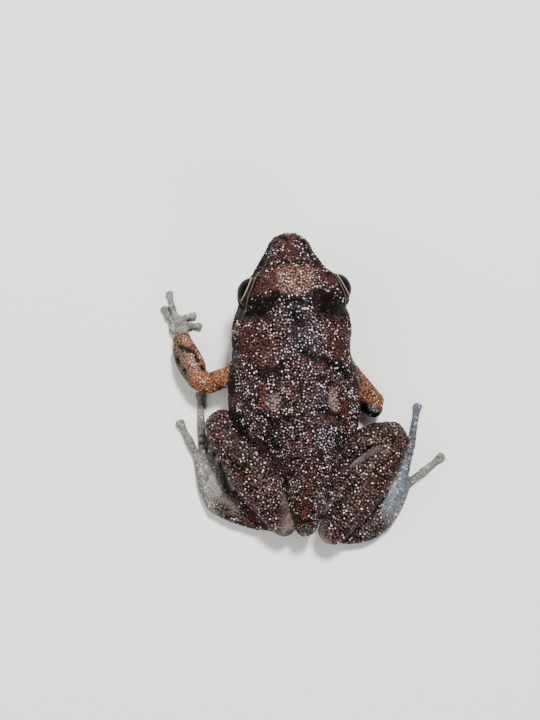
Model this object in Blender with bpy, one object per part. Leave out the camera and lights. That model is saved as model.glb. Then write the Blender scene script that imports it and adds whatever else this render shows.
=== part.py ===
"""Greenhouse frog at life size, sitting still, as a museum model.

Every length is a real size in millimetres. The shapes are worked out in millimetres
and each finished mesh is scaled to metres. The head points along +Y, +X is the frog's
right side, +Z is up and the floor that it sits on is the plane Z = 0.
"""

import math

import bmesh
import bpy
from mathutils import Matrix, Vector

MM = 0.001
GAP = 0.3
# The middle of the whole frog's footprint, which becomes the model's origin.
PLAN_CENTRE = (0.86, 0.61)

# Head and trunk: each row is (distance forward of mid-body, value there).
HALF_WIDTH = [
    (-10.98, 0.3), (-10.6, 0.7), (-9.6, 1.05), (-8.0, 1.55), (-6.4, 1.85), (-4.8, 2.5),
    (-3.4, 3.7), (-2.2, 4.75), (-1.0, 5.2), (0.2, 5.24), (2.8, 4.88), (4.5, 4.72), (6.2, 4.62),
    (7.4, 4.3), (8.6, 3.85), (9.8, 3.2), (10.9, 2.5), (11.9, 1.85), (12.5, 1.52),
    (12.95, 1.1), (13.22, 0.5),
]
BACK_HEIGHT = [
    (-10.98, 3.15), (-10.3, 3.75), (-8.7, 4.75), (-6.4, 6.0), (-4.4, 6.85), (-2.4, 7.35),
    (1.0, 7.45), (4.0, 7.3), (6.5, 7.25), (8.3, 7.1), (9.6, 6.5), (11.0, 5.6),
    (12.3, 5.05), (12.95, 4.6), (13.22, 4.1),
]
BELLY_HEIGHT = [
    (-10.98, 2.5), (-10.3, 1.5), (-9.0, 0.6), (-7.6, -0.1), (-1.4, -0.1), (1.0, 0.4),
    (3.0, 1.2), (5.0, 1.75), (7.0, 2.05), (9.0, 2.2), (11.0, 2.45), (12.4, 2.75),
    (13.0, 3.05), (13.22, 3.35),
]
SIDE_HEIGHT = [
    (-10.98, 2.8), (-8.0, 2.9), (-4.0, 3.2), (2.0, 3.5), (5.0, 3.6), (7.5, 3.25),
    (10.0, 3.1), (12.3, 3.35), (13.22, 3.65),
]
SPINE_SHIFT = [
    (-10.98, 0.1), (-9.6, 0.3), (-8.0, 0.35), (-5.5, 0.4), (-3.0, 0.1), (-1.0, -0.22), (2.5, -0.34),
    (6.0, -0.2), (8.5, -0.05), (13.22, -0.08),
]
# How far the section turns from a round trunk (0) to a snout with sharp canthi (1).
SNOUT_SHAPE = [(-10.98, 0.0), (6.0, 0.0), (8.5, 0.55), (10.5, 1.0), (12.4, 1.0), (13.22, 0.3)]

# Half a section, from the middle of the back to the middle of the belly, as shares of the
# half width and of the height above (or below) the widest level.
TRUNK_SECTION = [
    (0.0, 1.0), (0.4, 0.95), (0.72, 0.75), (0.93, 0.42), (1.0, 0.0), (0.93, -0.46),
    (0.7, -0.84), (0.36, -1.0), (0.0, -1.0),
]
SNOUT_SECTION = [
    (0.0, 1.0), (0.46, 0.98), (0.78, 0.85), (0.87, 0.45), (1.0, 0.0), (0.92, -0.5),
    (0.68, -0.86), (0.34, -1.0), (0.0, -1.0),
]
SECTION_STEPS = 2
NECK_AT = 5.2
TRUNK_RINGS = 24
HEAD_RINGS = 20
END_CROWDING = 0.75
END_BULGE = 0.05

# Eyes and the face.
EYE_RADIUS = 1.3
EYE_OUT = 3.15
EYE_FORWARD = 8.52
EYE_HEIGHT = 5.6
LID_CENTRE = (2.6, 8.3, 5.75)
LID_RADII = (1.55, 1.8, 1.95)
EAR_CENTRE = (4.42, 6.25, 4.45)
EAR_RADIUS = 0.58
EAR_RIM = 0.15
FOLD_PATH = [(3.55, 7.35, 6.5), (4.05, 6.75, 5.75), (4.5, 6.05, 5.2), (4.6, 5.75, 4.75)]
FOLD_RADIUS = 0.3
NOSTRIL_PLACE = (0.98, 12.32, 4.62)
NOSTRIL_RADIUS = 0.17
NOSTRIL_RIM = 0.3
MOUTH_CORNER = 6.85
MOUTH_HEIGHT = [(6.85, 3.05), (7.6, 2.82), (9.5, 2.8), (11.9, 2.98), (13.22, 3.3)]
MOUTH_DEPTH = 0.34
MOUTH_OPENING = 0.13
MOUTH_STEPS = 12

# Limbs: (x, y, z) of each joint, and the half width and half height of the flesh there.
THIGHS = {
    "left": [((-1.6, -8.3, 2.3), 1.2, 1.25), ((-2.9, -5.2, 1.95), 1.55, 1.55),
             ((-4.75, -2.7, 2.05), 1.45, 1.45), ((-6.0, -1.5, 2.2), 1.05, 1.05)],
    "right": [((1.9, -8.4, 2.3), 1.2, 1.25), ((4.1, -5.3, 2.1), 1.55, 1.5),
              ((6.15, -3.75, 2.2), 1.45, 1.45), ((7.6, -3.25, 2.35), 1.05, 1.05)],
}
SHANKS = {
    "left": [((-6.3, -1.75, 3.0), 1.15, 1.15), ((-5.25, -3.6, 3.25), 1.5, 1.4),
             ((-3.75, -6.4, 3.05), 1.55, 1.4), ((-2.25, -8.8, 2.6), 1.25, 1.15),
             ((-1.45, -9.95, 2.35), 1.05, 0.95)],
    "right": [((7.75, -3.85, 3.0), 1.15, 1.15), ((6.45, -5.4, 3.25), 1.5, 1.4),
              ((4.45, -8.1, 3.05), 1.55, 1.4), ((2.95, -10.1, 2.6), 1.2, 1.15),
              ((2.4, -10.85, 2.35), 1.0, 0.95)],
}
TARSI = {
    "left": [((-2.1, -9.9, 1.05), 0.85, 0.85), ((-3.6, -9.45, 0.95), 0.98, 0.88),
             ((-5.2, -8.95, 0.85), 0.95, 0.85), ((-6.7, -8.25, 0.78), 0.88, 0.78)],
    "right": [((2.7, -11.0, 1.05), 0.85, 0.85), ((4.1, -11.1, 0.95), 0.98, 0.88),
              ((5.5, -10.95, 0.85), 0.95, 0.85), ((6.7, -10.25, 0.78), 0.88, 0.78)],
}
INSTEPS = {
    "left": [((-6.85, -8.2, 0.72), 0.85, 0.68), ((-7.3, -6.9, 0.62), 0.88, 0.62),
             ((-7.5, -5.6, 0.5), 0.85, 0.52), ((-7.75, -4.5, 0.42), 0.72, 0.44)],
    "right": [((6.85, -10.15, 0.72), 0.85, 0.68), ((7.55, -9.2, 0.62), 0.88, 0.62),
              ((8.15, -8.1, 0.5), 0.85, 0.52), ((8.65, -7.1, 0.42), 0.72, 0.44)],
}
# Toes I to V, each from its knuckle to its tip.
TOES = {
    "left": [
        [(-7.0, -6.0), (-6.35, -5.45), (-5.85, -5.1)],
        [(-7.2, -5.5), (-6.5, -4.5), (-6.0, -3.65)],
        [(-7.4, -5.0), (-6.85, -3.2), (-6.45, -1.75)],
        [(-7.7, -4.7), (-7.72, -1.8), (-7.69, 0.75)],
        [(-8.0, -4.8), (-8.75, -3.0), (-9.45, -1.45)],
    ],
    "right": [
        [(7.7, -8.5), (7.4, -7.75), (7.15, -7.1)],
        [(8.0, -8.0), (7.95, -6.9), (7.85, -5.9)],
        [(8.4, -7.5), (8.75, -5.8), (8.95, -4.2)],
        [(8.7, -7.2), (9.5, -4.2), (10.2, -1.15)],
        [(9.0, -7.5), (10.5, -6.5), (11.95, -5.45)],
    ],
}
TOE_RADIUS = 0.31
TOE_DISC = 0.39
UPPER_ARMS = {
    "left": [((-3.9, 2.75, 3.1), 0.85, 0.85), ((-5.4, 2.2, 2.85), 0.78, 0.78),
             ((-6.7, 1.8, 2.45), 0.8, 0.78), ((-7.45, 1.75, 2.2), 0.82, 0.8)],
    "right": [((3.4, 3.1, 3.1), 0.85, 0.85), ((4.55, 1.75, 2.9), 0.78, 0.78),
              ((5.55, 0.4, 2.6), 0.8, 0.78), ((6.3, -0.5, 2.3), 0.8, 0.76)],
}
FOREARMS = {
    "left": [((-7.85, 2.15, 2.1), 0.88, 0.8), ((-8.3, 3.2, 1.75), 1.1, 0.9),
             ((-8.7, 4.3, 1.3), 0.98, 0.78), ((-8.95, 5.35, 0.85), 0.72, 0.55)],
    "right": [((6.35, -1.1, 1.6), 0.74, 0.7), ((5.5, -0.35, 1.25), 0.8, 0.7),
              ((4.9, 0.9, 1.0), 0.72, 0.62), ((4.4, 2.2, 0.75), 0.58, 0.48)],
}
PALMS = {
    "left": [((-8.92, 5.7, 0.62), 0.55, 0.45), ((-9.1, 6.3, 0.45), 0.8, 0.42),
             ((-9.2, 6.9, 0.38), 0.72, 0.38)],
    "right": [((4.3, 2.45, 0.6), 0.5, 0.42), ((4.1, 3.0, 0.43), 0.78, 0.42),
              ((4.0, 3.55, 0.37), 0.7, 0.38)],
}
# Fingers I to IV, each from its knuckle to its tip.
FINGERS = {
    "left": [
        [(-8.9, 6.25), (-8.15, 6.45), (-7.45, 6.35)],
        [(-9.0, 6.8), (-8.45, 7.15), (-7.85, 7.25)],
        [(-9.3, 7.0), (-9.6, 8.1), (-9.75, 9.15)],
        [(-9.5, 6.8), (-10.0, 7.3), (-10.25, 7.95)],
    ],
    "right": [
        [(3.8, 2.95), (3.1, 3.15), (2.5, 3.15)],
        [(3.85, 3.4), (3.35, 4.05), (3.0, 4.65)],
        [(4.0, 3.7), (3.95, 4.7), (3.85, 5.6)],
        [(4.25, 3.4), (4.5, 4.0), (4.6, 4.65)],
    ],
}
FINGER_RADIUS = 0.27
FINGER_DISC = 0.34
DIGIT_HEIGHT = 0.26
DIGIT_ARCH = 0.12
LIMB_SIDES = 14
DIGIT_SIDES = 8
# From knuckle to tip: half width and half height, as shares of the digit's radius. The last
# row is the disc, whose width is its own.
DIGIT_TAPER = [(1.1, 1.0), (0.95, 0.92), (1.05, 0.95), (0.88, 0.88), (0.85, 0.85), (None, 0.9)]
DISC_LENGTH = 1.7
SIDES = {"left": -1, "right": 1}
FLOOR_ROOM = 60.0

# Colour and roughness by the start of a part's name; the last row is for all the others.
FINISHES = [
    ("eye", (0.01, 0.008, 0.006), 0.2),
    ("upper_arm", (0.33, 0.13, 0.05), 0.5),
    ("forearm", (0.28, 0.16, 0.13), 0.5),
    ("hand", (0.27, 0.26, 0.31), 0.45),
    ("foot", (0.24, 0.25, 0.3), 0.45),
    ("", (0.13, 0.06, 0.045), 0.55),
]


def smooth_value(knots, place):
    """Read a smooth curve without overshoot through (place, value) knots."""
    if place <= knots[0][0]:
        return knots[0][1]
    if place >= knots[-1][0]:
        return knots[-1][1]
    steps = [(b[1] - a[1]) / (b[0] - a[0]) for a, b in zip(knots, knots[1:])]
    inner = [0.0 if s * t <= 0 else 2 * s * t / (s + t) for s, t in zip(steps, steps[1:])]
    slopes = [steps[0], *inner, steps[-1]]
    index = max(i for i, knot in enumerate(knots[:-1]) if knot[0] <= place)
    (start, low), (end, high) = knots[index], knots[index + 1]
    span = end - start
    share = (place - start) / span
    rise = share * share * (3 - 2 * share)
    leave = share * (1 - share) ** 2 * slopes[index] * span
    arrive = -share * share * (1 - share) * slopes[index + 1] * span
    return low + (high - low) * rise + leave + arrive


def spline_point(points, share):
    """Read a Catmull-Rom curve through the points, at a share of its way."""
    place = share * (len(points) - 1)
    index = min(int(place), len(points) - 2)
    t = place - index
    p1, p2 = points[index], points[index + 1]
    p0 = points[index - 1] if index else p1 * 2 - p2
    p3 = points[index + 2] if index + 2 < len(points) else p2 * 2 - p1
    bend = p0 * 2 - p1 * 5 + p2 * 4 - p3
    twist = p3 - p0 + (p1 - p2) * 3
    return (p1 * 2 + (p2 - p0) * t + bend * t * t + twist * t ** 3) / 2


def mesh_object(name, points, faces):
    """Make a closed mesh object with its faces pointing out."""
    mesh = bpy.data.meshes.new(name)
    mesh.from_pydata([tuple(p) for p in points], [], faces)
    obj = bpy.data.objects.new(name, mesh)
    bpy.context.scene.collection.objects.link(obj)
    work = bmesh.new()
    work.from_mesh(mesh)
    bmesh.ops.recalc_face_normals(work, faces=work.faces)
    work.to_mesh(mesh)
    work.free()
    return obj


def loft(name, rings, start_pole, end_pole):
    """Skin a row of rings and close each end on a pole."""
    count = len(rings[0])
    points = [point for ring in rings for point in ring] + [start_pole, end_pole]
    first, last = len(points) - 2, len(points) - 1
    faces = []
    for row in range(len(rings) - 1):
        for i in range(count):
            j = (i + 1) % count
            a, b = row * count, (row + 1) * count
            faces.append((a + i, a + j, b + j, b + i))
    end = (len(rings) - 1) * count
    for i in range(count):
        j = (i + 1) % count
        faces.append((first, j, i))
        faces.append((last, end + i, end + j))
    return mesh_object(name, points, faces)


def body_ring(forward, grow=0.0):
    """One section across the head or trunk."""
    width = smooth_value(HALF_WIDTH, forward) + grow
    side = smooth_value(SIDE_HEIGHT, forward)
    above = smooth_value(BACK_HEIGHT, forward) + grow - side
    below = side - smooth_value(BELLY_HEIGHT, forward) + grow
    middle = smooth_value(SPINE_SHIFT, forward)
    snout = smooth_value(SNOUT_SHAPE, forward)
    half = []
    for trunk, face in zip(TRUNK_SECTION, SNOUT_SECTION):
        across = trunk[0] + (face[0] - trunk[0]) * snout
        level = trunk[1] + (face[1] - trunk[1]) * snout
        half.append((across * width, side + level * (above if level > 0 else below)))
    right = [Vector((middle + x, forward, z)) for x, z in half]
    left = [Vector((middle - x, forward, z)) for x, z in half[-2:0:-1]]
    ring = right + left
    smooth = []
    for i, corner in enumerate(ring):
        four = [ring[i - 1], corner, ring[(i + 1) % len(ring)], ring[(i + 2) % len(ring)]]
        for step in range(SECTION_STEPS):
            smooth.append(spline_point(four, (1 + step / SECTION_STEPS) / 3))
    return smooth


def body_loft(name, start, end, rings, grow=0.0):
    """A length of the head and trunk, with its rings crowded towards a free end."""
    stations = []
    for i in range(rings):
        share = i / (rings - 1)
        eased = math.sin(share * math.pi / 2)
        stations.append(start + (end - start) * (share + (eased - share) * END_CROWDING))
    sections = [body_ring(forward, grow) for forward in stations]
    tip = sum(sections[-1], Vector()) / len(sections[-1])
    tip.y += math.copysign(END_BULGE + grow, end - start)
    root = sum(sections[0], Vector()) / len(sections[0])
    return loft(name, sections, root, tip)


def limb(name, joints, sides=LIMB_SIDES, grow=0.0, rings_per_joint=3, cap_rings=3):
    """A tube of flesh along the joints, oval across and round at both ends."""
    path = [Vector(joint[0]) for joint in joints]
    widths = [Vector((joint[1] + grow, joint[2] + grow, 0.0)) for joint in joints]
    count = (len(joints) - 1) * rings_per_joint + 1
    shares = [i / (count - 1) for i in range(count)]
    centres = [spline_point(path, share) for share in shares]
    radii = [spline_point(widths, share) for share in shares]
    ways = []
    for i in range(count):
        ahead, behind = centres[min(i + 1, count - 1)], centres[max(i - 1, 0)]
        ways.append((ahead - behind).normalized())
    turns = [step * math.pi / 2 / cap_rings for step in range(1, cap_rings)]
    start_reach = ways[0] * radii[0].y
    end_reach = ways[-1] * radii[-1].y
    stops = []
    for turn in reversed(turns):
        stops.append((centres[0] - start_reach * math.sin(turn), ways[0], radii[0] * math.cos(turn)))
    stops += zip(centres, ways, radii)
    for turn in turns:
        stops.append((centres[-1] + end_reach * math.sin(turn), ways[-1], radii[-1] * math.cos(turn)))
    rings = []
    for centre, way, radius in stops:
        across = way.cross(Vector((0, 0, 1))).normalized()
        up = across.cross(way)
        ring = []
        for i in range(sides):
            angle = 2 * math.pi * (i + 0.5) / sides
            side_step = across * radius.x * math.cos(angle)
            ring.append(centre + side_step + up * radius.y * math.sin(angle))
        rings.append(ring)
    return loft(name, rings, centres[0] - start_reach, centres[-1] + end_reach)


def digit(name, plan, radius, disc):
    """A finger or toe with a low arch between its pads, a narrow neck and a round disc."""
    knuckle, bend, tip = [Vector((x, y, DIGIT_HEIGHT)) for x, y in plan]
    middle = bend + Vector((0, 0, DIGIT_ARCH))
    neck = tip + (bend - tip).normalized() * disc * DISC_LENGTH
    places = [knuckle, (knuckle + middle) / 2, middle, (middle + neck) / 2, neck, tip]
    joints = []
    for place, (width, height) in zip(places, DIGIT_TAPER):
        joints.append((place, radius * width if width else disc, radius * height))
    return limb(name, joints, DIGIT_SIDES, rings_per_joint=1, cap_rings=2)


def ball(name, centre, radii, segments=20, rings=12):
    """An oval ball with its poles up and down."""
    mesh = bpy.data.meshes.new(name)
    work = bmesh.new()
    bmesh.ops.create_uvsphere(work, u_segments=segments, v_segments=rings, radius=1.0)
    work.transform(Matrix.LocRotScale(Vector(centre), None, Vector(radii)))
    work.to_mesh(mesh)
    work.free()
    obj = bpy.data.objects.new(name, mesh)
    bpy.context.scene.collection.objects.link(obj)
    return obj


def replace_mesh(obj):
    """Give the object the mesh that its modifiers make, without the modifiers."""
    bpy.context.view_layer.update()
    seen = obj.evaluated_get(bpy.context.evaluated_depsgraph_get())
    mesh = bpy.data.meshes.new_from_object(seen)
    obj.modifiers.clear()
    obj.data = mesh


def join(obj, others, solver="EXACT"):
    """Fuse the other closed meshes to the object, with one union on a collection."""
    group = bpy.data.collections.new(obj.name + "_others")
    bpy.context.scene.collection.children.link(group)
    for other in others:
        for home in list(other.users_collection):
            home.objects.unlink(other)
        group.objects.link(other)
    modifier = obj.modifiers.new("join", "BOOLEAN")
    modifier.operation = "UNION"
    modifier.solver = solver
    modifier.operand_type = "COLLECTION"
    modifier.collection = group
    replace_mesh(obj)
    for other in others:
        bpy.data.objects.remove(other)
    bpy.data.collections.remove(group)
    keep_largest(obj)


def carve(obj, cutters, solver="EXACT"):
    """Cut the closed meshes from the object, one after another."""
    for cutter in cutters:
        modifier = obj.modifiers.new("carve", "BOOLEAN")
        modifier.operation = "DIFFERENCE"
        modifier.solver = solver
        modifier.object = cutter
        replace_mesh(obj)
        bpy.data.objects.remove(cutter)
    keep_largest(obj)


def keep_largest(obj):
    """Drop every closed surface of the object but the largest."""
    work = bmesh.new()
    work.from_mesh(obj.data)
    work.faces.ensure_lookup_table()
    waiting = set(work.faces)
    islands = []
    while waiting:
        stack = [waiting.pop()]
        island = []
        while stack:
            face = stack.pop()
            island.append(face)
            for edge in face.edges:
                for other in edge.link_faces:
                    if other in waiting:
                        waiting.remove(other)
                        stack.append(other)
        islands.append(island)
    islands.sort(key=lambda island: sum(face.calc_area() for face in island), reverse=True)
    scraps = [face for island in islands[1:] for face in island]
    if scraps:
        bmesh.ops.delete(work, geom=scraps, context="FACES")
    work.to_mesh(obj.data)
    work.free()


def material(name):
    """A plain finish in the part's own colour."""
    colour, roughness = next(row[1:] for row in FINISHES if name.startswith(row[0]))
    finish = bpy.data.materials.new(name + "_finish")
    finish.use_nodes = True
    shader = finish.node_tree.nodes["Principled BSDF"]
    shader.inputs["Base Color"].default_value = (*colour, 1.0)
    shader.inputs["Roughness"].default_value = roughness
    shader.inputs["Metallic"].default_value = 0.0
    return finish


def floor_block():
    """The room below the floor, which nothing reaches into."""
    bpy.ops.mesh.primitive_cube_add(size=FLOOR_ROOM, location=(0.0, 0.0, -FLOOR_ROOM / 2))
    return bpy.context.object


def mirrored(place, way):
    """A point of the face, on the side that way gives, beside the bent midline."""
    return Vector((place[0] * way + smooth_value(SPINE_SHIFT, place[1]), place[1], place[2]))


def ear(way):
    """The round eardrum, its raised rim and the fold of skin above it."""
    centre = mirrored(EAR_CENTRE, way)
    bpy.ops.mesh.primitive_torus_add(
        major_segments=14, minor_segments=6, major_radius=EAR_RADIUS, minor_radius=EAR_RIM
    )
    rim = bpy.context.object
    rim.data.transform(Matrix.Translation(centre) @ Matrix.Rotation(math.pi / 2, 4, "Y"))
    drum = ball("drum", centre, (EAR_RIM * 0.8, EAR_RADIUS, EAR_RADIUS), 12, 8)
    fold = [(mirrored(place, way), FOLD_RADIUS, FOLD_RADIUS) for place in FOLD_PATH]
    return [rim, drum, limb("fold", fold, 8, rings_per_joint=2)]


def mouth_cutter():
    """A thin wedge that follows the lips from one corner of the mouth to the other."""
    tip = HALF_WIDTH[-1][0]
    half = []
    for i in range(MOUTH_STEPS + 1):
        forward = MOUTH_CORNER + (tip - MOUTH_CORNER) * math.sin(i / MOUTH_STEPS * math.pi / 2)
        half.append((smooth_value(HALF_WIDTH, forward), forward))
    lips = half + [(-x, y) for x, y in reversed(half)]
    rings = []
    for i, (x, y) in enumerate(lips):
        ahead, behind = lips[min(i + 1, len(lips) - 1)], lips[max(i - 1, 0)]
        out = Vector((ahead[1] - behind[1], behind[0] - ahead[0], 0.0)).normalized()
        middle = Vector((x + smooth_value(SPINE_SHIFT, y), y, smooth_value(MOUTH_HEIGHT, y)))
        outer = middle + out * MOUTH_DEPTH
        spread = Vector((0, 0, MOUTH_OPENING * 2))
        rings.append([middle - out * MOUTH_DEPTH, outer - spread, outer + spread])
    start = sum(rings[0], Vector()) / 3
    end = sum(rings[-1], Vector()) / 3
    return loft("mouth", rings, start, end)


def build_head():
    """The head, with lids, ears, nostrils and the line of the mouth."""
    head = body_loft("head", NECK_AT + GAP / 2, HALF_WIDTH[-1][0], HEAD_RINGS)
    extras = []
    cutters = [mouth_cutter()]
    for way in SIDES.values():
        extras.append(ball("lid", mirrored(LID_CENTRE, way), LID_RADII, 16, 12))
        extras.append(ball("nostril_rim", mirrored(NOSTRIL_PLACE, way), [NOSTRIL_RIM] * 3, 10, 6))
        extras += ear(way)
        socket = Vector((EYE_OUT * way, EYE_FORWARD, EYE_HEIGHT))
        cutters.append(ball("socket", socket, [EYE_RADIUS + GAP] * 3, 18, 12))
        hole = mirrored(NOSTRIL_PLACE, way) + Vector((way, 0.6, 0.5)).normalized() * NOSTRIL_RIM
        cutters.append(ball("nostril", hole, [NOSTRIL_RADIUS] * 3, 8, 6))
    join(head, extras)
    carve(head, cutters)
    return head


def build_foot(side, name, palm, digits, radius, disc):
    """A hand or a foot: the flat of it and its digits, fused."""
    flat = limb(name + "_" + side, palm[side])
    fan = [digit("digit", plan, radius, disc) for plan in digits[side]]
    join(flat, fan, "MANIFOLD")
    return flat


def whole_trunk(grow):
    """The head and trunk together, grown for cutting what meets them."""
    front = body_loft("front", 0.0, HALF_WIDTH[-1][0], HEAD_RINGS, grow)
    back = body_loft("back", 0.01, HALF_WIDTH[0][0], TRUNK_RINGS, grow)
    join(front, [back])
    return front


def build():
    nodes = {"head": build_head()}
    nodes["torso"] = body_loft("torso", NECK_AT - GAP / 2, HALF_WIDTH[0][0], TRUNK_RINGS)
    carve(nodes["torso"], [floor_block()])
    for side, way in SIDES.items():
        place = (EYE_OUT * way, EYE_FORWARD, EYE_HEIGHT)
        nodes["eye_" + side] = ball("eye_" + side, place, [EYE_RADIUS] * 3, 16, 10)
        shank = limb("shank_" + side, SHANKS[side])
        carve(shank, [whole_trunk(GAP)])
        thigh = limb("thigh_" + side, THIGHS[side])
        neighbours = [limb("cut", joints[side], grow=GAP) for joints in (SHANKS, TARSI)]
        carve(thigh, [whole_trunk(GAP), *neighbours])
        tarsus = limb("tarsus_" + side, TARSI[side])
        carve(tarsus, [limb("cut", SHANKS[side], grow=GAP), whole_trunk(GAP), floor_block()])
        foot = build_foot(side, "foot", INSTEPS, TOES, TOE_RADIUS, TOE_DISC)
        carve(foot, [limb("cut", TARSI[side], grow=GAP), floor_block()])
        upper_arm = limb("upper_arm_" + side, UPPER_ARMS[side])
        carve(upper_arm, [whole_trunk(GAP)])
        forearm = limb("forearm_" + side, FOREARMS[side])
        carve(forearm, [limb("cut", UPPER_ARMS[side], grow=GAP), whole_trunk(GAP)])
        hand = build_foot(side, "hand", PALMS, FINGERS, FINGER_RADIUS, FINGER_DISC)
        carve(hand, [limb("cut", FOREARMS[side], grow=GAP), floor_block()])
        for piece in (shank, thigh, tarsus, foot, upper_arm, forearm, hand):
            nodes[piece.name] = piece
    frog = bpy.data.objects.new("frog", None)
    bpy.context.scene.collection.objects.link(frog)
    frog.location = (-PLAN_CENTRE[0] * MM, -PLAN_CENTRE[1] * MM, 0.0)
    for name, node in nodes.items():
        node.data.transform(Matrix.Scale(MM, 4))
        node.data.shade_smooth()
        node.data.materials.clear()
        node.data.materials.append(material(name))
        node.parent = frog


for old in list(bpy.data.objects):
    bpy.data.objects.remove(old)
build()
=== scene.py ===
"""Looks of the life-size greenhouse frog: one unbroken moist skin, two eyes, floor and lights.

Shapes are worked out in millimetres, with the head along +Y, the frog's right side along +X
and the floor at Z = 0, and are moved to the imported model's place and to metres at the end.
"""

import math

import bpy
import numpy as np
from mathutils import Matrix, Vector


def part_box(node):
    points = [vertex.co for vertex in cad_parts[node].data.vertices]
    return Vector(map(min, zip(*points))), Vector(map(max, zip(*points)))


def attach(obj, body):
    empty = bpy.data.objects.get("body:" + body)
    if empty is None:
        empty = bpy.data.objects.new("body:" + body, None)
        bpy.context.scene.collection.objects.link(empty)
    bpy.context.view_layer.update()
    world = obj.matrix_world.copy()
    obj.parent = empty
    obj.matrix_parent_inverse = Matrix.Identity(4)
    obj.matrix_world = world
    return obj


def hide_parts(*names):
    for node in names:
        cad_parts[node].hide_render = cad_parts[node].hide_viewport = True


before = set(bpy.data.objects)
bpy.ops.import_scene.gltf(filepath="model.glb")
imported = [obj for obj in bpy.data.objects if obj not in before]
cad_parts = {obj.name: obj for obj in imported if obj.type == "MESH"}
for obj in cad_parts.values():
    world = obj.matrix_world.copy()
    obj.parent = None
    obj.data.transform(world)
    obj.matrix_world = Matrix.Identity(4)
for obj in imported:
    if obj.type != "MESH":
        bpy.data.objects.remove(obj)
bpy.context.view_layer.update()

import openvdb
from mathutils import Matrix, Vector
from mathutils.kdtree import KDTree

MM = 0.001
SIDES = {"left": -1, "right": 1}

# The skin is read from distances to it, kept on a grid of small cubes this wide, up to this many
# cubes away.
CELL = 0.05
REACH_CELLS = 12
REACH = CELL * REACH_CELLS
# Cells further than this from the skin count as empty.
EMPTY = REACH * 0.98
# Swells and ridges are worked out as far off as this many of their widths.
FADE_WIDTHS = 2.2

# Head and trunk: each row is (distance forward of mid-body, value there).
HALF_WIDTH = [
    (-10.98, 0.3), (-10.6, 0.7), (-9.6, 1.05), (-8.0, 1.55), (-6.4, 1.85), (-4.8, 2.5),
    (-3.4, 3.7), (-2.2, 4.75), (-1.0, 5.2), (0.2, 5.24), (2.8, 4.88), (4.5, 4.72), (6.2, 4.62),
    (7.4, 4.3), (8.6, 3.85), (9.8, 3.2), (10.9, 2.5), (11.9, 1.85), (12.5, 1.52),
    (12.95, 1.1), (13.22, 0.5),
]
BACK_HEIGHT = [
    (-10.98, 3.15), (-10.3, 3.75), (-8.7, 4.75), (-6.4, 6.0), (-4.4, 6.85), (-2.4, 7.35),
    (1.0, 7.45), (4.0, 7.3), (6.5, 7.25), (8.3, 7.1), (9.6, 6.5), (11.0, 5.6),
    (12.3, 5.05), (12.95, 4.6), (13.22, 4.1),
]
BELLY_HEIGHT = [
    (-10.98, 2.5), (-10.3, 1.5), (-9.0, 0.6), (-7.6, -0.1), (-1.4, -0.1), (1.0, 0.4),
    (3.0, 1.2), (5.0, 1.75), (7.0, 2.05), (9.0, 2.2), (11.0, 2.45), (12.4, 2.75),
    (13.0, 3.05), (13.22, 3.35),
]
SIDE_HEIGHT = [
    (-10.98, 2.8), (-8.0, 2.9), (-4.0, 3.2), (2.0, 3.5), (5.0, 3.6), (7.5, 3.25),
    (10.0, 3.1), (12.3, 3.35), (13.22, 3.65),
]
SPINE_SHIFT = [
    (-10.98, 0.1), (-9.6, 0.3), (-8.0, 0.35), (-5.5, 0.4), (-3.0, 0.1), (-1.0, -0.22),
    (2.5, -0.34), (6.0, -0.2), (8.5, -0.05), (13.22, -0.08),
]
# How far the section turns from a round trunk (0) to a snout with sharp canthi (1).
SNOUT_SHAPE = [(-10.98, 0.0), (6.0, 0.0), (8.5, 0.55), (10.5, 1.0), (12.4, 1.0), (13.22, 0.3)]
# Half a section, from the middle of the back to the middle of the belly, as shares of the
# half width and of the height above (or below) the widest level.
TRUNK_SECTION = [
    (0.0, 1.0), (0.4, 0.95), (0.72, 0.75), (0.93, 0.42), (1.0, 0.0), (0.93, -0.46),
    (0.7, -0.84), (0.36, -1.0), (0.0, -1.0),
]
SNOUT_SECTION = [
    (0.0, 1.0), (0.46, 0.98), (0.78, 0.85), (0.87, 0.45), (1.0, 0.0), (0.92, -0.5),
    (0.68, -0.86), (0.34, -1.0), (0.0, -1.0),
]
# How finely the head and trunk are made: steps between the section's corners, rings along
# them, and how far the rings crowd towards both ends, from 0 to 1.
SECTION_STEPS = 4
TRUNK_RINGS = 120
END_CROWDING = 0.75

# Eyes and the face. The opening of the lids is given as angles from the gaze.
EYE_RADIUS = 1.3
EYE_PLACE = (3.15, 8.52, 5.6)
EYE_TURN = math.radians(28.0)
EYE_RISE = math.radians(12.0)
LID_CENTRE = (2.6, 8.3, 5.75)
LID_RADII = (1.55, 1.8, 1.95)
LID_THICKNESS = 0.24
OPENING_AHEAD = math.radians(75.0)
OPENING_BEHIND = math.radians(82.0)
OPENING_UP = math.radians(62.0)
OPENING_DOWN = math.radians(47.0)
# Behind the eyeball a point counts as at least this many openings away.
BEHIND_SHARE = 1.6
EAR_CENTRE = (4.42, 6.25, 4.45)
EAR_RADIUS = 0.58
NOSTRIL_PLACE = (0.98, 12.32, 4.62)
MOUTH_CORNER = 6.85
SNOUT_TIP = 12.6
MOUTH_HEIGHT = [(6.85, 3.15), (7.6, 2.96), (9.5, 2.95), (11.9, 3.12), (13.22, 3.42)]
# The mouth's groove and the lips above and below it: height, how far up, width.
LIPS = [(-0.16, 0.0, 0.06), (0.07, 0.26, 0.17), (0.05, -0.26, 0.17)]
# The raised edge of the lids: height, how far from the opening, width.
LID_RIM = (0.03, 0.07, 0.08)
# How deep the pocket behind the eyeball goes, and how round the lids' edge is.
EYE_POCKET = 0.3
LID_ROUNDING = 0.12
LID_BLEND = 0.5
EYE_BLEND = 0.3

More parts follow.
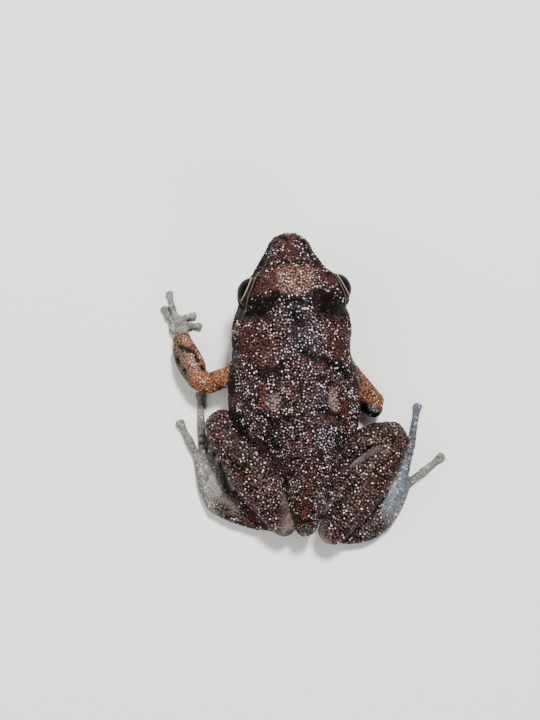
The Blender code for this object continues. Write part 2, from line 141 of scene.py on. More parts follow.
# Forms raised on the head and trunk, or sunk where the height is below 0. A swell is its
# place, its radii and its height. A ridge is its path, its half width and its height. Those
# of the sides are given for the right one, beside the bent midline.
BROW_DIP = ((-0.05, 8.9, 7.0), (0.9, 1.3, 1.0), -0.14)
NAPE_DIP = ((-0.1, 6.3, 7.3), (1.3, 0.8, 1.0), -0.08)
CANTHUS = ([(2.55, 10.0, 6.0), (1.95, 11.0, 5.65), (1.35, 12.0, 5.2), (0.9, 12.7, 4.85)], 0.38, 0.13)
CHEEK_HOLLOW = ((2.65, 10.9, 4.4), (0.9, 1.1, 0.6), -0.16)
SHOULDER_BLADE = ((2.9, 4.1, 6.5), (1.4, 1.6, 1.2), 0.12)
EAR_FOLD = (
    [(3.5, 7.2, 6.6), (4.05, 6.75, 5.85), (4.45, 6.15, 5.3), (4.6, 5.6, 4.7), (4.65, 5.1, 4.0),
     (4.7, 4.5, 3.5)], 0.26, 0.2,
)
# The eardrum: its ring's height and width, then its dish's depth and share of the radius.
EAR_RING = (0.1, 0.13)
EAR_DISH = (0.07, 0.75)
# The nostril: its swelling, and the pit in it, placed from the middle of the swelling.
NOSTRIL_SWELLING = (0.34, 0.1)
NOSTRIL_PIT = ((0.16, 0.02, 0.22), (0.13, 0.16, 0.16), -0.34)
SPINE_GROOVE = ([(-0.3, 5.0, 7.3), (-0.35, 2.5, 7.4), (-0.25, -1.0, 7.4), (0.0, -2.5, 7.3)], 0.4, -0.08)
TAIL_BONE = ([(0.15, -3.0, 7.1), (0.35, -5.5, 6.4), (0.35, -8.0, 5.1), (0.2, -10.0, 3.9)], 0.45, 0.13)
HIP_HUMP = ((1.5, -2.3, 7.0), (1.1, 1.3, 1.2), 0.16)
RUMP_FURROW = ([(1.1, -3.8, 6.5), (1.0, -6.0, 5.8), (0.8, -8.5, 4.4)], 0.4, -0.08)
SHOULDER = ((3.9, 1.6, 5.6), (1.0, 1.8, 1.0), 0.1)
ARMPIT = ((4.5, 3.6, 4.2), (0.6, 0.9, 0.9), -0.12)
VENT = ((0.1, -11.0, 2.7), 0.32, -0.3)
# Wrinkles of the flank, each from its upper end to its lower, and how far its middle bulges.
WRINKLES = [((4.9, 0.6, 4.4), (5.1, -0.6, 3.6)), ((4.8, -0.6, 4.9), (4.7, -1.8, 3.9))]
WRINKLE_BEND = Vector((0.1, 0.1, 0))
WRINKLE_WIDTH = 0.2
WRINKLE_HEIGHT = -0.08

# Limbs: (x, y, z) of each joint, and the half width and half height of the flesh there.
THIGHS = {
    "left": [((-1.6, -8.3, 2.3), 1.2, 1.25), ((-2.9, -5.2, 1.95), 1.55, 1.55),
             ((-4.75, -2.7, 2.05), 1.45, 1.45), ((-6.0, -1.5, 2.2), 1.05, 1.05)],
    "right": [((1.9, -8.4, 2.3), 1.2, 1.25), ((4.1, -5.3, 2.1), 1.55, 1.5),
              ((6.15, -3.75, 2.2), 1.45, 1.45), ((7.6, -3.25, 2.35), 1.05, 1.05)],
}
SHANKS = {
    "left": [((-6.3, -1.75, 3.0), 1.15, 1.15), ((-5.25, -3.6, 3.25), 1.5, 1.4),
             ((-3.75, -6.4, 3.05), 1.55, 1.4), ((-2.25, -8.8, 2.6), 1.25, 1.15),
             ((-1.45, -9.95, 2.35), 1.05, 0.95)],
    "right": [((7.75, -3.85, 3.0), 1.15, 1.15), ((6.45, -5.4, 3.25), 1.5, 1.4),
              ((4.45, -8.1, 3.05), 1.6, 1.4), ((2.85, -10.05, 2.6), 1.3, 1.15),
              ((2.25, -10.85, 2.35), 1.12, 0.95)],
}
TARSI = {
    "left": [((-2.1, -9.9, 1.05), 0.85, 0.85), ((-3.5, -9.3, 0.95), 1.13, 0.88),
             ((-5.1, -8.8, 0.85), 1.1, 0.85), ((-6.6, -8.1, 0.78), 1.0, 0.78)],
    "right": [((2.7, -11.0, 1.05), 0.85, 0.85), ((4.05, -10.95, 0.95), 1.12, 0.88),
              ((5.45, -10.8, 0.85), 1.08, 0.85), ((6.65, -10.15, 0.78), 0.98, 0.78)],
}
INSTEPS = {
    "left": [((-6.65, -8.1, 0.72), 1.05, 0.68), ((-7.1, -6.85, 0.62), 1.08, 0.62),
             ((-7.3, -5.6, 0.5), 1.05, 0.52), ((-7.6, -4.5, 0.42), 0.87, 0.44)],
    "right": [((6.8, -10.1, 0.72), 0.92, 0.68), ((7.45, -9.15, 0.62), 0.98, 0.62),
              ((8.05, -8.05, 0.5), 0.95, 0.52), ((8.6, -7.1, 0.42), 0.77, 0.44)],
}
# Toes I to V, each from its knuckle to its tip.
TOES = {
    "left": [
        [(-7.0, -6.0), (-6.35, -5.45), (-5.85, -5.1)],
        [(-7.2, -5.5), (-6.5, -4.5), (-6.0, -3.65)],
        [(-7.4, -5.0), (-6.85, -3.2), (-6.45, -1.75)],
        [(-7.7, -4.7), (-7.72, -1.8), (-7.69, 0.75)],
        [(-8.0, -4.8), (-8.75, -3.0), (-9.45, -1.45)],
    ],
    "right": [
        [(7.7, -8.5), (7.4, -7.75), (7.15, -7.1)],
        [(8.0, -8.0), (7.95, -6.9), (7.85, -5.9)],
        [(8.4, -7.5), (8.75, -5.8), (8.95, -4.2)],
        [(8.7, -7.2), (9.5, -4.2), (10.2, -1.15)],
        [(9.0, -7.5), (10.5, -6.5), (11.95, -5.45)],
    ],
}
TOE_RADIUS = 0.31
TOE_DISC = 0.39
UPPER_ARMS = {
    "left": [((-3.9, 2.75, 3.1), 0.85, 0.85), ((-5.4, 2.2, 2.85), 0.78, 0.78),
             ((-6.7, 1.8, 2.45), 0.8, 0.78), ((-7.45, 1.75, 2.2), 0.82, 0.8)],
    "right": [((3.4, 3.1, 3.1), 0.85, 0.85), ((4.55, 1.75, 2.9), 0.78, 0.78),
              ((5.55, 0.4, 2.6), 0.8, 0.78), ((6.3, -0.5, 2.3), 0.8, 0.76)],
}
FOREARMS = {
    "left": [((-7.85, 2.15, 2.1), 0.88, 0.8), ((-8.3, 3.2, 1.75), 1.1, 0.9),
             ((-8.7, 4.3, 1.3), 0.98, 0.78), ((-8.95, 5.35, 0.85), 0.72, 0.55)],
    "right": [((6.35, -1.1, 1.6), 0.74, 0.7), ((5.5, -0.35, 1.25), 0.8, 0.7),
              ((4.9, 0.9, 1.0), 0.72, 0.62), ((4.4, 2.2, 0.75), 0.58, 0.48)],
}
PALMS = {
    "left": [((-8.92, 5.7, 0.62), 0.55, 0.45), ((-9.1, 6.3, 0.45), 0.8, 0.42),
             ((-9.2, 6.9, 0.38), 0.72, 0.38)],
    "right": [((4.3, 2.45, 0.6), 0.5, 0.42), ((4.1, 3.0, 0.43), 0.78, 0.42),
              ((4.0, 3.55, 0.37), 0.7, 0.38)],
}
# Fingers I to IV, each from its knuckle to its tip.
FINGERS = {
    "left": [
        [(-8.9, 6.25), (-8.15, 6.45), (-7.45, 6.35)],
        [(-9.0, 6.8), (-8.45, 7.15), (-7.85, 7.25)],
        [(-9.3, 7.0), (-9.6, 8.1), (-9.75, 9.15)],
        [(-9.5, 6.8), (-10.0, 7.3), (-10.25, 7.95)],
    ],
    "right": [
        [(3.8, 2.95), (3.1, 3.15), (2.5, 3.15)],
        [(3.85, 3.4), (3.35, 4.05), (3.0, 4.65)],
        [(4.0, 3.7), (3.95, 4.7), (3.85, 5.6)],
        [(4.25, 3.4), (4.5, 4.0), (4.6, 4.65)],
    ],
}
FINGER_RADIUS = 0.24
FINGER_DISC = 0.31
DIGIT_HEIGHT = 0.26
DIGIT_ARCH = 0.12
# From knuckle to tip: half width and half height, as shares of the digit's radius. The last
# row is the disc, whose width is its own.
DIGIT_TAPER = [(1.1, 1.0), (0.95, 0.92), (1.05, 0.95), (0.88, 0.88), (0.85, 0.85), (None, 0.9)]
DISC_LENGTH = 1.7
# How finely a limb's form is made: its sides, and its rings for each joint and each round end.
LIMB_SIDES = 28
LIMB_RINGS = 9
DIGIT_RINGS = 5
CAP_RINGS = 8
# How many steps along a limb its own skin is looked for.
LIMB_STOPS = 12
# Loose skin that bridges the hollow between the hips and a folded leg, built like a limb.
WEBS = {
    "left": [((-3.3, -2.9, 3.7), 0.8, 0.8), ((-2.5, -4.8, 3.55), 0.85, 0.7),
             ((-1.8, -6.6, 3.1), 0.7, 0.55)],
    "right": [((3.6, -3.4, 3.6), 0.8, 0.8), ((3.0, -5.2, 3.55), 0.85, 0.7),
              ((2.3, -7.2, 3.1), 0.7, 0.55)],
}
# The same between a shank and the tarsus folded under it.
LEG_WEBS = {
    "left": [((-5.2, -7.6, 1.2), 0.55, 0.55), ((-4.3, -8.2, 1.4), 0.65, 0.6),
             ((-3.2, -9.1, 1.6), 0.65, 0.6)],
    "right": [((3.7, -10.3, 1.5), 0.6, 0.55), ((5.2, -9.4, 1.35), 0.65, 0.6),
              ((6.4, -8.3, 1.1), 0.6, 0.55), ((7.1, -7.2, 0.9), 0.4, 0.45)],
}
# Folds and furrows of the legs' skin: the path, how wide it is and how high.
LEG_FOLDS = {
    "left": [([(-4.6, -1.4, 3.4), (-3.9, -2.5, 3.6), (-3.1, -3.6, 3.6)], 0.18, 0.1)],
    "right": [([(3.4, -5.1, 3.6), (4.5, -4.05, 3.6), (5.9, -3.05, 3.6), (7.1, -2.6, 3.5)], 0.34, 0.22),
              ([(3.1, -5.9, 3.8), (4.25, -5.1, 3.8), (5.4, -4.45, 3.8), (6.5, -3.9, 3.8)], 0.3, -0.2)],
}

LEG_FOLD_TALL = 3.0

# How softly a form's flesh joins the rest, then how far a softer join reaches round the joint
# that it grows from, and how soft that one is.
BODY_BLEND = 0.3
THIGH_JOIN = (0.22, 1.6, 0.6)
SHANK_JOIN = (0.16, 1.3, 0.6)
TARSUS_JOIN = (0.14, 1.3, 0.6)
UPPER_ARM_JOIN = (0.25, 1.5, 0.6)
FOREARM_JOIN = (0.16, 1.0, 0.45)
PALM_JOIN = (0.12, 0.9, 0.45)
DIGIT_JOIN = (0.1, 0.7, 0.3)
WEB_BLEND = 0.9
LEG_WEB_BLEND = 0.3
# The bones that show on the back of a hand or a foot: how far back from the knuckle they run,
# their half width and height.
RAY_SHARE = 0.6
RAY_WIDTH = 0.16
RAY_HEIGHT = 0.06

# Corners of the room that the frog is built in, and how high in it the floor's cut is worked out.
ROOM_LOW = (-11.8, -13.2, -0.6)
ROOM_HIGH = (13.6, 14.4, 8.8)
FLOOR_CUT = 0.6

# How often the fine steps of the grid are smoothed out of the skin, and how far each time:
# in, then out again.
SMOOTHINGS = 9
SMOOTHING_STEPS = (0.5, -0.52)

# Grain of the skin: the least distance between granules, how far one reaches, their heights.
GRANULE = 0.19
GRANULE_REACH = 0.3
GRANULE_HEIGHT = 0.085
GRANULE_SEED = 7
# How much less room a granule needs on some kinds of skin, and how much more on others.
GRANULE_ROOM_LESS = {"arm": 0.02, "foot": 0.04, "silver": 0.02}
GRANULE_ROOM_MORE = {"belly": 0.06, "leg": 0.03}
# How likely a granule is to carry a pale fleck, part pale pigment and part painted glint:
# everywhere, in thick patches, and on each mark or kind of skin.
FLECK_CHANCE = 0.34
FLECK_PATCH_SIZE = 0.8
FLECK_PATCH_CHANCE = 0.8
FLECK_CHANCES = {
    "tan": 0.2, "red": -0.4, "arm": -0.5, "foot": -0.4, "belly": -0.9, "bare": -1.1, "side": -0.6,
    "grey": -0.3, "orange": -0.5, "pale": -0.5, "leg": -0.15, "dark": -0.2,
}
# The silver rows, where nearly every granule carries a bright fleck: pale pigment and painted glints.
SILVER_CHANCE = 0.95
FLECK_RADIUS = 0.046
# Dust-fine specks between the flecks: how wide their cells are, how many of these hold one, and
# how large it is.
DUST_SIZE = 0.17
DUST_SHARE = 0.3
DUST_RADIUS = 0.3
# Scattered warts: how far apart and how high. Soft lumps and creases: how wide and how high.
WART = 0.95
WART_HEIGHT = 0.1
LUMP_SIZE = 1.5
LUMP_HEIGHT = 0.2
FOLD_SIZE = 0.6
FOLD_HEIGHT = 0.1
# The grain fades out between these heights over the floor.
GRAIN_START = 0.03
GRAIN_FULL = 0.3
# The lids' pale edge: how far from the opening it runs and how wide it is. The dark bare strip
# round the opening is this wide above, and narrower below.
LID_EDGE_BEYOND = 0.05
LID_EDGE_WIDTH = 0.032
LID_STRIP = 0.3
LID_STRIP_NARROWING = 0.2
# Painted shade in the gaps between granules: how light the skin stays there, how much of that more
# where it is smooth, and how far from a granule's seat the painted shade begins and ends.
LIGHT_KEPT_IN_GAP_SHADE = 0.15
SMOOTH_LIGHT_KEPT_IN_GAP_SHADE = 0.75
GAP_SHADE_START = 0.05
GAP_SHADE_END = 0.14
# How ragged and how sharp the flecks' edges are, and how quickly they grow dimmer.
FLECK_RAGGED = 0.26
FLECK_RAGGED_SIZE = 0.12
FLECK_EDGE = 0.012
FLECK_DIMMING = 1.9

# Colours (red, green, blue, clear).
BROWN_DARK = (0.03, 0.015, 0.014, 1)
BROWN_WARM = (0.065, 0.033, 0.03, 1)
BROWN_BLACK = (0.006, 0.004, 0.004, 1)
FLANK_DARK = (0.008, 0.006, 0.005, 1)
FLANK_GREY = (0.05, 0.045, 0.036, 1)
LEG_DARK = (0.045, 0.025, 0.023, 1)
LEG_BROWN = (0.11, 0.065, 0.057, 1)
LEG_SMOOTH = (0.165, 0.125, 0.117, 1)
MARK_BLACK = (0.0022, 0.0016, 0.0015, 1)
MARK_RED = (0.055, 0.017, 0.013, 1)
MARK_ORANGE = (0.11, 0.032, 0.022, 1)
MARK_TAN = (0.17, 0.085, 0.063, 1)
MARK_PALE = (0.22, 0.145, 0.135, 1)
MARK_LILAC = (0.05, 0.036, 0.04, 1)
MARK_GREY = (0.07, 0.066, 0.052, 1)
MARK_PINK = (0.2, 0.1, 0.075, 1)
ARM_ORANGE = (0.22, 0.09, 0.045, 1)
ARM_RUST = (0.17, 0.058, 0.03, 1)
ARM_DARK = (0.05, 0.024, 0.016, 1)
FOOT_BLUE = (0.07, 0.088, 0.115, 1)
FOOT_OLIVE = (0.135, 0.13, 0.112, 1)
FOOT_PALE = (0.165, 0.16, 0.147, 1)
FOOT_DARK = (0.03, 0.028, 0.028, 1)
BELLY_PALE = (0.32, 0.27, 0.25, 1)
BELLY_BROWN = (0.14, 0.1, 0.09, 1)
# The flecks' tones, from dim to white: pale pigment, the white ones also painted glints.
FLECK_DIM = (0.16, 0.095, 0.09, 1)
FLECK_WHITE_GLINT = (0.92, 0.8, 0.79, 1)
FLECK_GOLD = (0.85, 0.66, 0.42, 1)
FLECK_LILAC = (0.66, 0.6, 0.8, 1)
FLECK_GREY = (0.3, 0.24, 0.23, 1)
LID_EDGE = (0.13, 0.095, 0.08, 1)
IRIS_BROWN = (0.012, 0.007, 0.005, 1)
IRIS_GOLD = (0.1, 0.05, 0.02, 1)
IRIS_PALE = (0.26, 0.19, 0.14, 1)
PUPIL_BLACK = (0.002, 0.002, 0.002, 1)
EYE_RIM = (0.004, 0.003, 0.003, 1)
FLOOR_TONE = (0.78, 0.77, 0.75, 1)

# The masks that the skin carries, and the markings laid over it in order: the mask, its
# colour, the size of its ragged edge, how ragged it is and how strong.
MASKS = (
    "dark", "red", "orange", "tan", "pale", "lilac", "gold", "grey", "blue", "pink", "silver", "bare",
    "side", "leg", "arm", "foot", "belly", "lid_edge",
)
# Carried too: the distance from the nearest granule, its fleck's radius and its own number.
FLECK_VALUES = ("away", "fleck", "own")
MARKINGS = [
    ("lilac", MARK_LILAC, 0.6, 0.8, 0.6),
    ("grey", MARK_GREY, 0.5, 0.7, 0.8),
    ("blue", FOOT_BLUE, 0.5, 0.4, 0.85),
    ("red", MARK_RED, 0.4, 1.0, 0.85),
    ("pink", MARK_PINK, 0.4, 0.5, 0.85),
    ("orange", MARK_ORANGE, 0.3, 0.7, 0.75),
    ("tan", MARK_TAN, 0.4, 0.8, 0.85),
    ("pale", MARK_PALE, 0.3, 0.6, 0.85),
    ("dark", MARK_BLACK, 0.5, 0.8, 0.95),
]

# The ground of each kind of skin: two tones, the noise between which one gives way to the
# other, then the dark of the fine hollows, the noise between which it shows and its strength.
GROUNDS = {
    "body": (BROWN_DARK, BROWN_WARM, (0.36, 0.64), BROWN_BLACK, (0.52, 0.38), 1.0),
    "leg": (LEG_DARK, LEG_BROWN, (0.38, 0.62), BROWN_BLACK, (0.5, 0.38), 0.7),
    "arm": (ARM_ORANGE, ARM_RUST, (0.4, 0.6), ARM_DARK, (0.48, 0.38), 0.5),
    "foot": (FOOT_OLIVE, FOOT_PALE, (0.4, 0.62), FOOT_DARK, (0.48, 0.34), 0.6),
}

# The pupil, as shares of the eye's radius seen along the gaze.
PUPIL_LENGTH = 0.74
PUPIL_HEIGHT = 0.68
# How much further the cornea stands out than the eyeball, and how far from the gaze it ends.
CORNEA_FULLNESS = 0.035
CORNEA_ANGLE = 0.75

# The studio: the floor, an even white glow and the soft boxes.
FLOOR_SIZE = 2.0
FLOOR_ROUGHNESS = 0.7
STUDIO_GLOW = 0.12
# Soft boxes: name, place in metres, width, power.
LIGHTS = [
    ("key", (0.05, 0.18, 0.32), 0.06, 3.1),
    ("fill", (-0.25, 0.02, 0.24), 0.3, 1.0),
    ("rim", (0.12, -0.26, 0.16), 0.1, 0.4),
]
# The photograph's view, in degrees, and its place in millimetres.
CAMERA_TILT = 4.0
CAMERA_TURN = 3.03
CAMERA_PLACE = (-9.4905, 3.3029, 110.0)
CAMERA_LENS = 67.0
CAMERA_SENSOR = 36.0

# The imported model's place: the middle between the eyes there and here.
eye_corners = [Vector(corner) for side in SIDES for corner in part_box("eye_" + side)]
FROG_ORIGIN = sum(eye_corners, Vector()) / 4 - Vector((0, *EYE_PLACE[1:])) * MM


# Curves and lofts

def smooth_value(knots, place):
    """Read a smooth curve without overshoot through (place, value) knots."""
    if place <= knots[0][0]:
        return knots[0][1]
    if place >= knots[-1][0]:
        return knots[-1][1]
    steps = [(b[1] - a[1]) / (b[0] - a[0]) for a, b in zip(knots, knots[1:])]
    inner = [0.0 if s * t <= 0 else 2 * s * t / (s + t) for s, t in zip(steps, steps[1:])]
    slopes = [steps[0], *inner, steps[-1]]
    index = max(i for i, knot in enumerate(knots[:-1]) if knot[0] <= place)
    (start, low), (end, high) = knots[index], knots[index + 1]
    span = end - start
    share = (place - start) / span
    rise = share * share * (3 - 2 * share)
    leave = share * (1 - share) ** 2 * slopes[index] * span
    arrive = -share * share * (1 - share) * slopes[index + 1] * span
    return low + (high - low) * rise + leave + arrive


def smooth_values(knots, places):
    """The same curve for an array of places."""
    table = np.linspace(knots[0][0], knots[-1][0], 600)
    return np.interp(places, table, [smooth_value(knots, place) for place in table])


def spline_point(points, share):
    """Read a Catmull-Rom curve through the points, at a share of its way."""
    place = share * (len(points) - 1)
    index = min(int(place), len(points) - 2)
    t = place - index
    p1, p2 = points[index], points[index + 1]
    p0 = points[index - 1] if index else p1 * 2 - p2
    p3 = points[index + 2] if index + 2 < len(points) else p2 * 2 - p1
    bend = p0 * 2 - p1 * 5 + p2 * 4 - p3
    twist = p3 - p0 + (p1 - p2) * 3
    return (p1 * 2 + (p2 - p0) * t + bend * t * t + twist * t ** 3) / 2


def smooth_path(points, steps=8):
    """Points close together along a smooth curve through the given ones."""
    points = [Vector(point) for point in points]
    count = (len(points) - 1) * steps
    return [spline_point(points, i / count) for i in range(count + 1)]


def loft(rings, start_pole, end_pole):
    """A closed skin over a row of rings, as points, four-sided faces and end triangles."""
    count = len(rings[0])
    points = [point for ring in rings for point in ring] + [start_pole, end_pole]
    first, last = len(points) - 2, len(points) - 1
    quads, ends = [], []
    for row in range(len(rings) - 1):
        a, b = row * count, (row + 1) * count
        for i in range(count):
            j = (i + 1) % count
            quads.append((a + i, a + j, b + j, b + i))
    end = (len(rings) - 1) * count
    for i in range(count):
        j = (i + 1) % count
        ends += [(first, j, i), (last, end + i, end + j)]
    return np.array([tuple(p) for p in points]), np.array(quads), np.array(ends)


def body_ring(forward):
    """One section across the head or trunk."""
    width = smooth_value(HALF_WIDTH, forward)
    side = smooth_value(SIDE_HEIGHT, forward)
    above = smooth_value(BACK_HEIGHT, forward) - side
    below = side - smooth_value(BELLY_HEIGHT, forward)
    middle = smooth_value(SPINE_SHIFT, forward)
    snout = smooth_value(SNOUT_SHAPE, forward)
    half = []
    for trunk, face in zip(TRUNK_SECTION, SNOUT_SECTION):
        across = trunk[0] + (face[0] - trunk[0]) * snout
        level = trunk[1] + (face[1] - trunk[1]) * snout
        half.append((across * width, side + level * (above if level > 0 else below)))
    right = [Vector((middle + x, forward, z)) for x, z in half]
    left = [Vector((middle - x, forward, z)) for x, z in half[-2:0:-1]]
    ring = right + left
    smooth = []
    for i, corner in enumerate(ring):
        four = [ring[i - 1], corner, ring[(i + 1) % len(ring)], ring[(i + 2) % len(ring)]]
        for step in range(SECTION_STEPS):
            smooth.append(spline_point(four, (1 + step / SECTION_STEPS) / 3))
    return smooth


def whole_body():
    """Head and trunk in one, with the rings crowded towards the snout and the vent."""
    ends = HALF_WIDTH[0][0], HALF_WIDTH[-1][0]
    stations = []
    for i in range(TRUNK_RINGS + 1):
        share = i / TRUNK_RINGS
        eased = (1 - math.cos(share * math.pi)) / 2
        stations.append(ends[0] + (ends[1] - ends[0]) * (share + (eased - share) * END_CROWDING))
    sections = [body_ring(forward) for forward in stations]
    poles = []
    for section, step in (sections[0], -0.05), (sections[-1], 0.05):
        pole = sum(section, Vector()) / len(section)
        pole.y += step
        poles.append(pole)
    return loft(sections, *poles)


def limb(joints, rings_per_joint=LIMB_RINGS):
    """A tube of flesh along the joints, oval across and round at both ends."""
    path = [Vector(joint[0]) for joint in joints]
    widths = [Vector((joint[1], joint[2], 0.0)) for joint in joints]
    count = (len(joints) - 1) * rings_per_joint + 1
    shares = [i / (count - 1) for i in range(count)]
    centres = [spline_point(path, share) for share in shares]
    radii = [spline_point(widths, share) for share in shares]
    ways = []
    for i in range(count):
        ahead, behind = centres[min(i + 1, count - 1)], centres[max(i - 1, 0)]
        ways.append((ahead - behind).normalized())
    turns = [step * math.pi / 2 / CAP_RINGS for step in range(1, CAP_RINGS)]
    start_reach = ways[0] * radii[0].y
    end_reach = ways[-1] * radii[-1].y
    stops = []
    for turn in reversed(turns):
        stops.append((centres[0] - start_reach * math.sin(turn), ways[0], radii[0] * math.cos(turn)))
    stops += zip(centres, ways, radii)
    for turn in turns:
        stops.append((centres[-1] + end_reach * math.sin(turn), ways[-1], radii[-1] * math.cos(turn)))
    rings = []
    for centre, way, radius in stops:
        across = way.cross(Vector((0, 0, 1))).normalized()
        up = across.cross(way)
        ring = []
        for i in range(LIMB_SIDES):
            angle = 2 * math.pi * (i + 0.5) / LIMB_SIDES
            side_step = across * radius.x * math.cos(angle)
            ring.append(centre + side_step + up * radius.y * math.sin(angle))
        rings.append(ring)
    return loft(rings, centres[0] - start_reach, centres[-1] + end_reach)


def digit_joints(plan, radius, disc):
    """A finger or toe with a low arch between its pads, a narrow neck and a round disc."""
    knuckle, bend, tip = [Vector((x, y, DIGIT_HEIGHT)) for x, y in plan]
    middle = bend + Vector((0, 0, DIGIT_ARCH))
    neck = tip + (bend - tip).normalized() * disc * DISC_LENGTH
    places = [knuckle, (knuckle + middle) / 2, middle, (middle + neck) / 2, neck, tip]
    joints = []
    for place, (width, height) in zip(places, DIGIT_TAPER):
        joints.append((place, radius * width if width else disc, radius * height))
    return joints


def mirrored(place, way):
    """A point of the head or trunk, on the side that way gives, beside the bent midline."""
    return Vector((place[0] * way + smooth_value(SPINE_SHIFT, place[1]), place[1], place[2]))


# Flesh as distances on a grid

def blended(a, b, blend):
    """The nearer of two distances, rounded over where they are alike."""
    share = np.clip(1 - np.abs(a - b) / blend, 0, 1)
    return np.minimum(a, b) - share * share * blend / 4


class Flesh:
    """Distances to the frog's skin, in millimetres, on a grid of small cubes around it."""

    def __init__(self, low, high):
        self.first = np.floor(np.array(low) / CELL).astype(int)
        shape = np.ceil(np.array(high) / CELL).astype(int) - self.first + 1
        self.cells = np.full(shape, REACH, np.float32)

    def window(self, low, high):
        """The cells between two corners, with their x, y and z."""
        start = np.floor(np.array(low) / CELL).astype(int) - self.first
        stop = np.ceil(np.array(high) / CELL).astype(int) - self.first + 1
        start = np.maximum(start, 0)
        stop = np.minimum(stop, self.cells.shape)
        axes = []
        for i in range(3):
            steps = np.arange(start[i], stop[i]) + self.first[i]
            axes.append((steps * CELL).astype(np.float32))
        view = self.cells[tuple(slice(a, b) for a, b in zip(start, stop))]
        return view, np.meshgrid(*axes, indexing="ij", sparse=True)

    def add(self, form, blend, joints=()):
        """Fuse a closed form, with a wider blend round each (place, radius, blend) joint."""
        points, quads, ends = form
        scale = openvdb.createLinearTransform(voxelSize=CELL)
        grid = openvdb.FloatGrid.createLevelSetFromPolygons(
            points.astype(np.float32), triangles=ends.astype(np.uint32),
            quads=quads.astype(np.uint32), transform=scale, halfWidth=float(REACH_CELLS),
        )
        low, high = [np.array(corner) for corner in grid.evalActiveVoxelBoundingBox()]
        low = np.maximum(low, self.first)
        high = np.minimum(high, self.first + self.cells.shape - 1)
        near = np.full(high - low + 1, REACH, np.float32)
        grid.copyToArray(near, ijk=tuple(int(i) for i in low))
        view, (x, y, z) = self.window(low * CELL + CELL / 2, high * CELL - CELL / 2)
        for place, radius, wide in joints:
            away = (x - place[0]) ** 2 + (y - place[1]) ** 2 + (z - place[2]) ** 2
            blend = blend + (wide - blend) * np.exp(-away / radius ** 2)
        far = np.minimum(view, near) >= EMPTY
        view[...] = np.where(far, REACH, blended(view, near, blend))

    def add_ball(self, centre, radii, blend):
        """Fuse an oval ball."""
        centre, radii = np.array(centre), np.array(radii)
        view, (x, y, z) = self.window(centre - radii - REACH, centre + radii + REACH)
        steps = [(axis - middle) / radius for axis, middle, radius in zip((x, y, z), centre, radii)]
        size = np.sqrt(sum(step ** 2 for step in steps))
        slope = np.sqrt(sum((step / radius) ** 2 for step, radius in zip(steps, radii))) + 1e-6
        near = size * (size - 1) / slope
        far = np.minimum(view, near) >= EMPTY
        view[...] = np.where(far, REACH, blended(view, near, blend))

    def swell(self, centre, radii, height):
        """Raise the skin over an oval area, or sink it where the height is below 0."""
        centre, radii = np.array(centre), np.array(radii) * np.ones(3)
        view, (x, y, z) = self.window(centre - radii * FADE_WIDTHS, centre + radii * FADE_WIDTHS)
        share = sum(((a - c) / r) ** 2 for a, c, r in zip((x, y, z), centre, radii))
        view -= height * np.exp(-share)

    def ridge(self, path, width, height, tall=1.0):
        """Raise the skin along a path, or sink it, fading out at both ends. The area it works on
        is tall times as high as it is wide."""
        path = np.array([tuple(point) for point in smooth_path(path)])
        reach = width * FADE_WIDTHS * np.array((1.0, 1.0, tall))
        view, (x, y, z) = self.window(path.min(0) - reach, path.max(0) + reach)
        total = np.zeros(view.shape, np.float32)
        for i, point in enumerate(path):
            share = i / (len(path) - 1)
            fade = min(1.0, 4 * share, 4 * (1 - share))
            away = (x - point[0]) ** 2 + (y - point[1]) ** 2 + ((z - point[2]) / tall) ** 2
            total = np.maximum(total, fade * np.exp(-away / width ** 2))
        view -= height * total

    def surface(self):
        """The skin as points and four-sided faces."""
        grid = openvdb.FloatGrid(REACH)
        grid.copyFromArray(np.clip(self.cells, -REACH, REACH), ijk=tuple(int(i) for i in self.first))
        grid.transform = openvdb.createLinearTransform(voxelSize=CELL)
        return grid.convertToQuads(0.0)


def swell_side(flesh, form, way):
    """A swell that is given for the right side, on the side that way gives."""
    place, radii, height = form
    flesh.swell(mirrored(place, way), radii, height)


def ridge_side(flesh, form, way):
    """The same for a ridge."""
    path, width, height = form
    flesh.ridge([mirrored(place, way) for place in path], width, height)


def shape_head(flesh):
    """Brow, canthi, eyelids, nostrils, lips, eardrums and the folds above them."""
    for way in SIDES.values():
        flesh.add_ball(mirrored(LID_CENTRE, way), LID_RADII, LID_BLEND)
        ridge_side(flesh, CANTHUS, way)
        swell_side(flesh, CHEEK_HOLLOW, way)
        swell_side(flesh, SHOULDER_BLADE, way)
    flesh.swell(*BROW_DIP)
    flesh.swell(*NAPE_DIP)
    for way in SIDES.values():
        cut_eye_opening(flesh, way)
        ridge_side(flesh, EAR_FOLD, way)
        shape_ear(flesh, way)
        shape_nostril(flesh, way)
    shape_mouth(flesh)


def eye_centre(way):
    """The middle of an eyeball, the right one where way is 1 and the left where it is -1."""
    return EYE_PLACE[0] * way, EYE_PLACE[1], EYE_PLACE[2]


def eye_axes(way):
    """Where an eye looks, its forward edge's direction and its upper edge's direction."""
    level = math.cos(EYE_RISE)
    gaze = Vector((way * math.cos(EYE_TURN) * level, math.sin(EYE_TURN) * level, math.sin(EYE_RISE)))
    along = (Vector((0, 1, 0)) - gaze * gaze.y).normalized()
    up = gaze.cross(along) * way
    return gaze, along, up


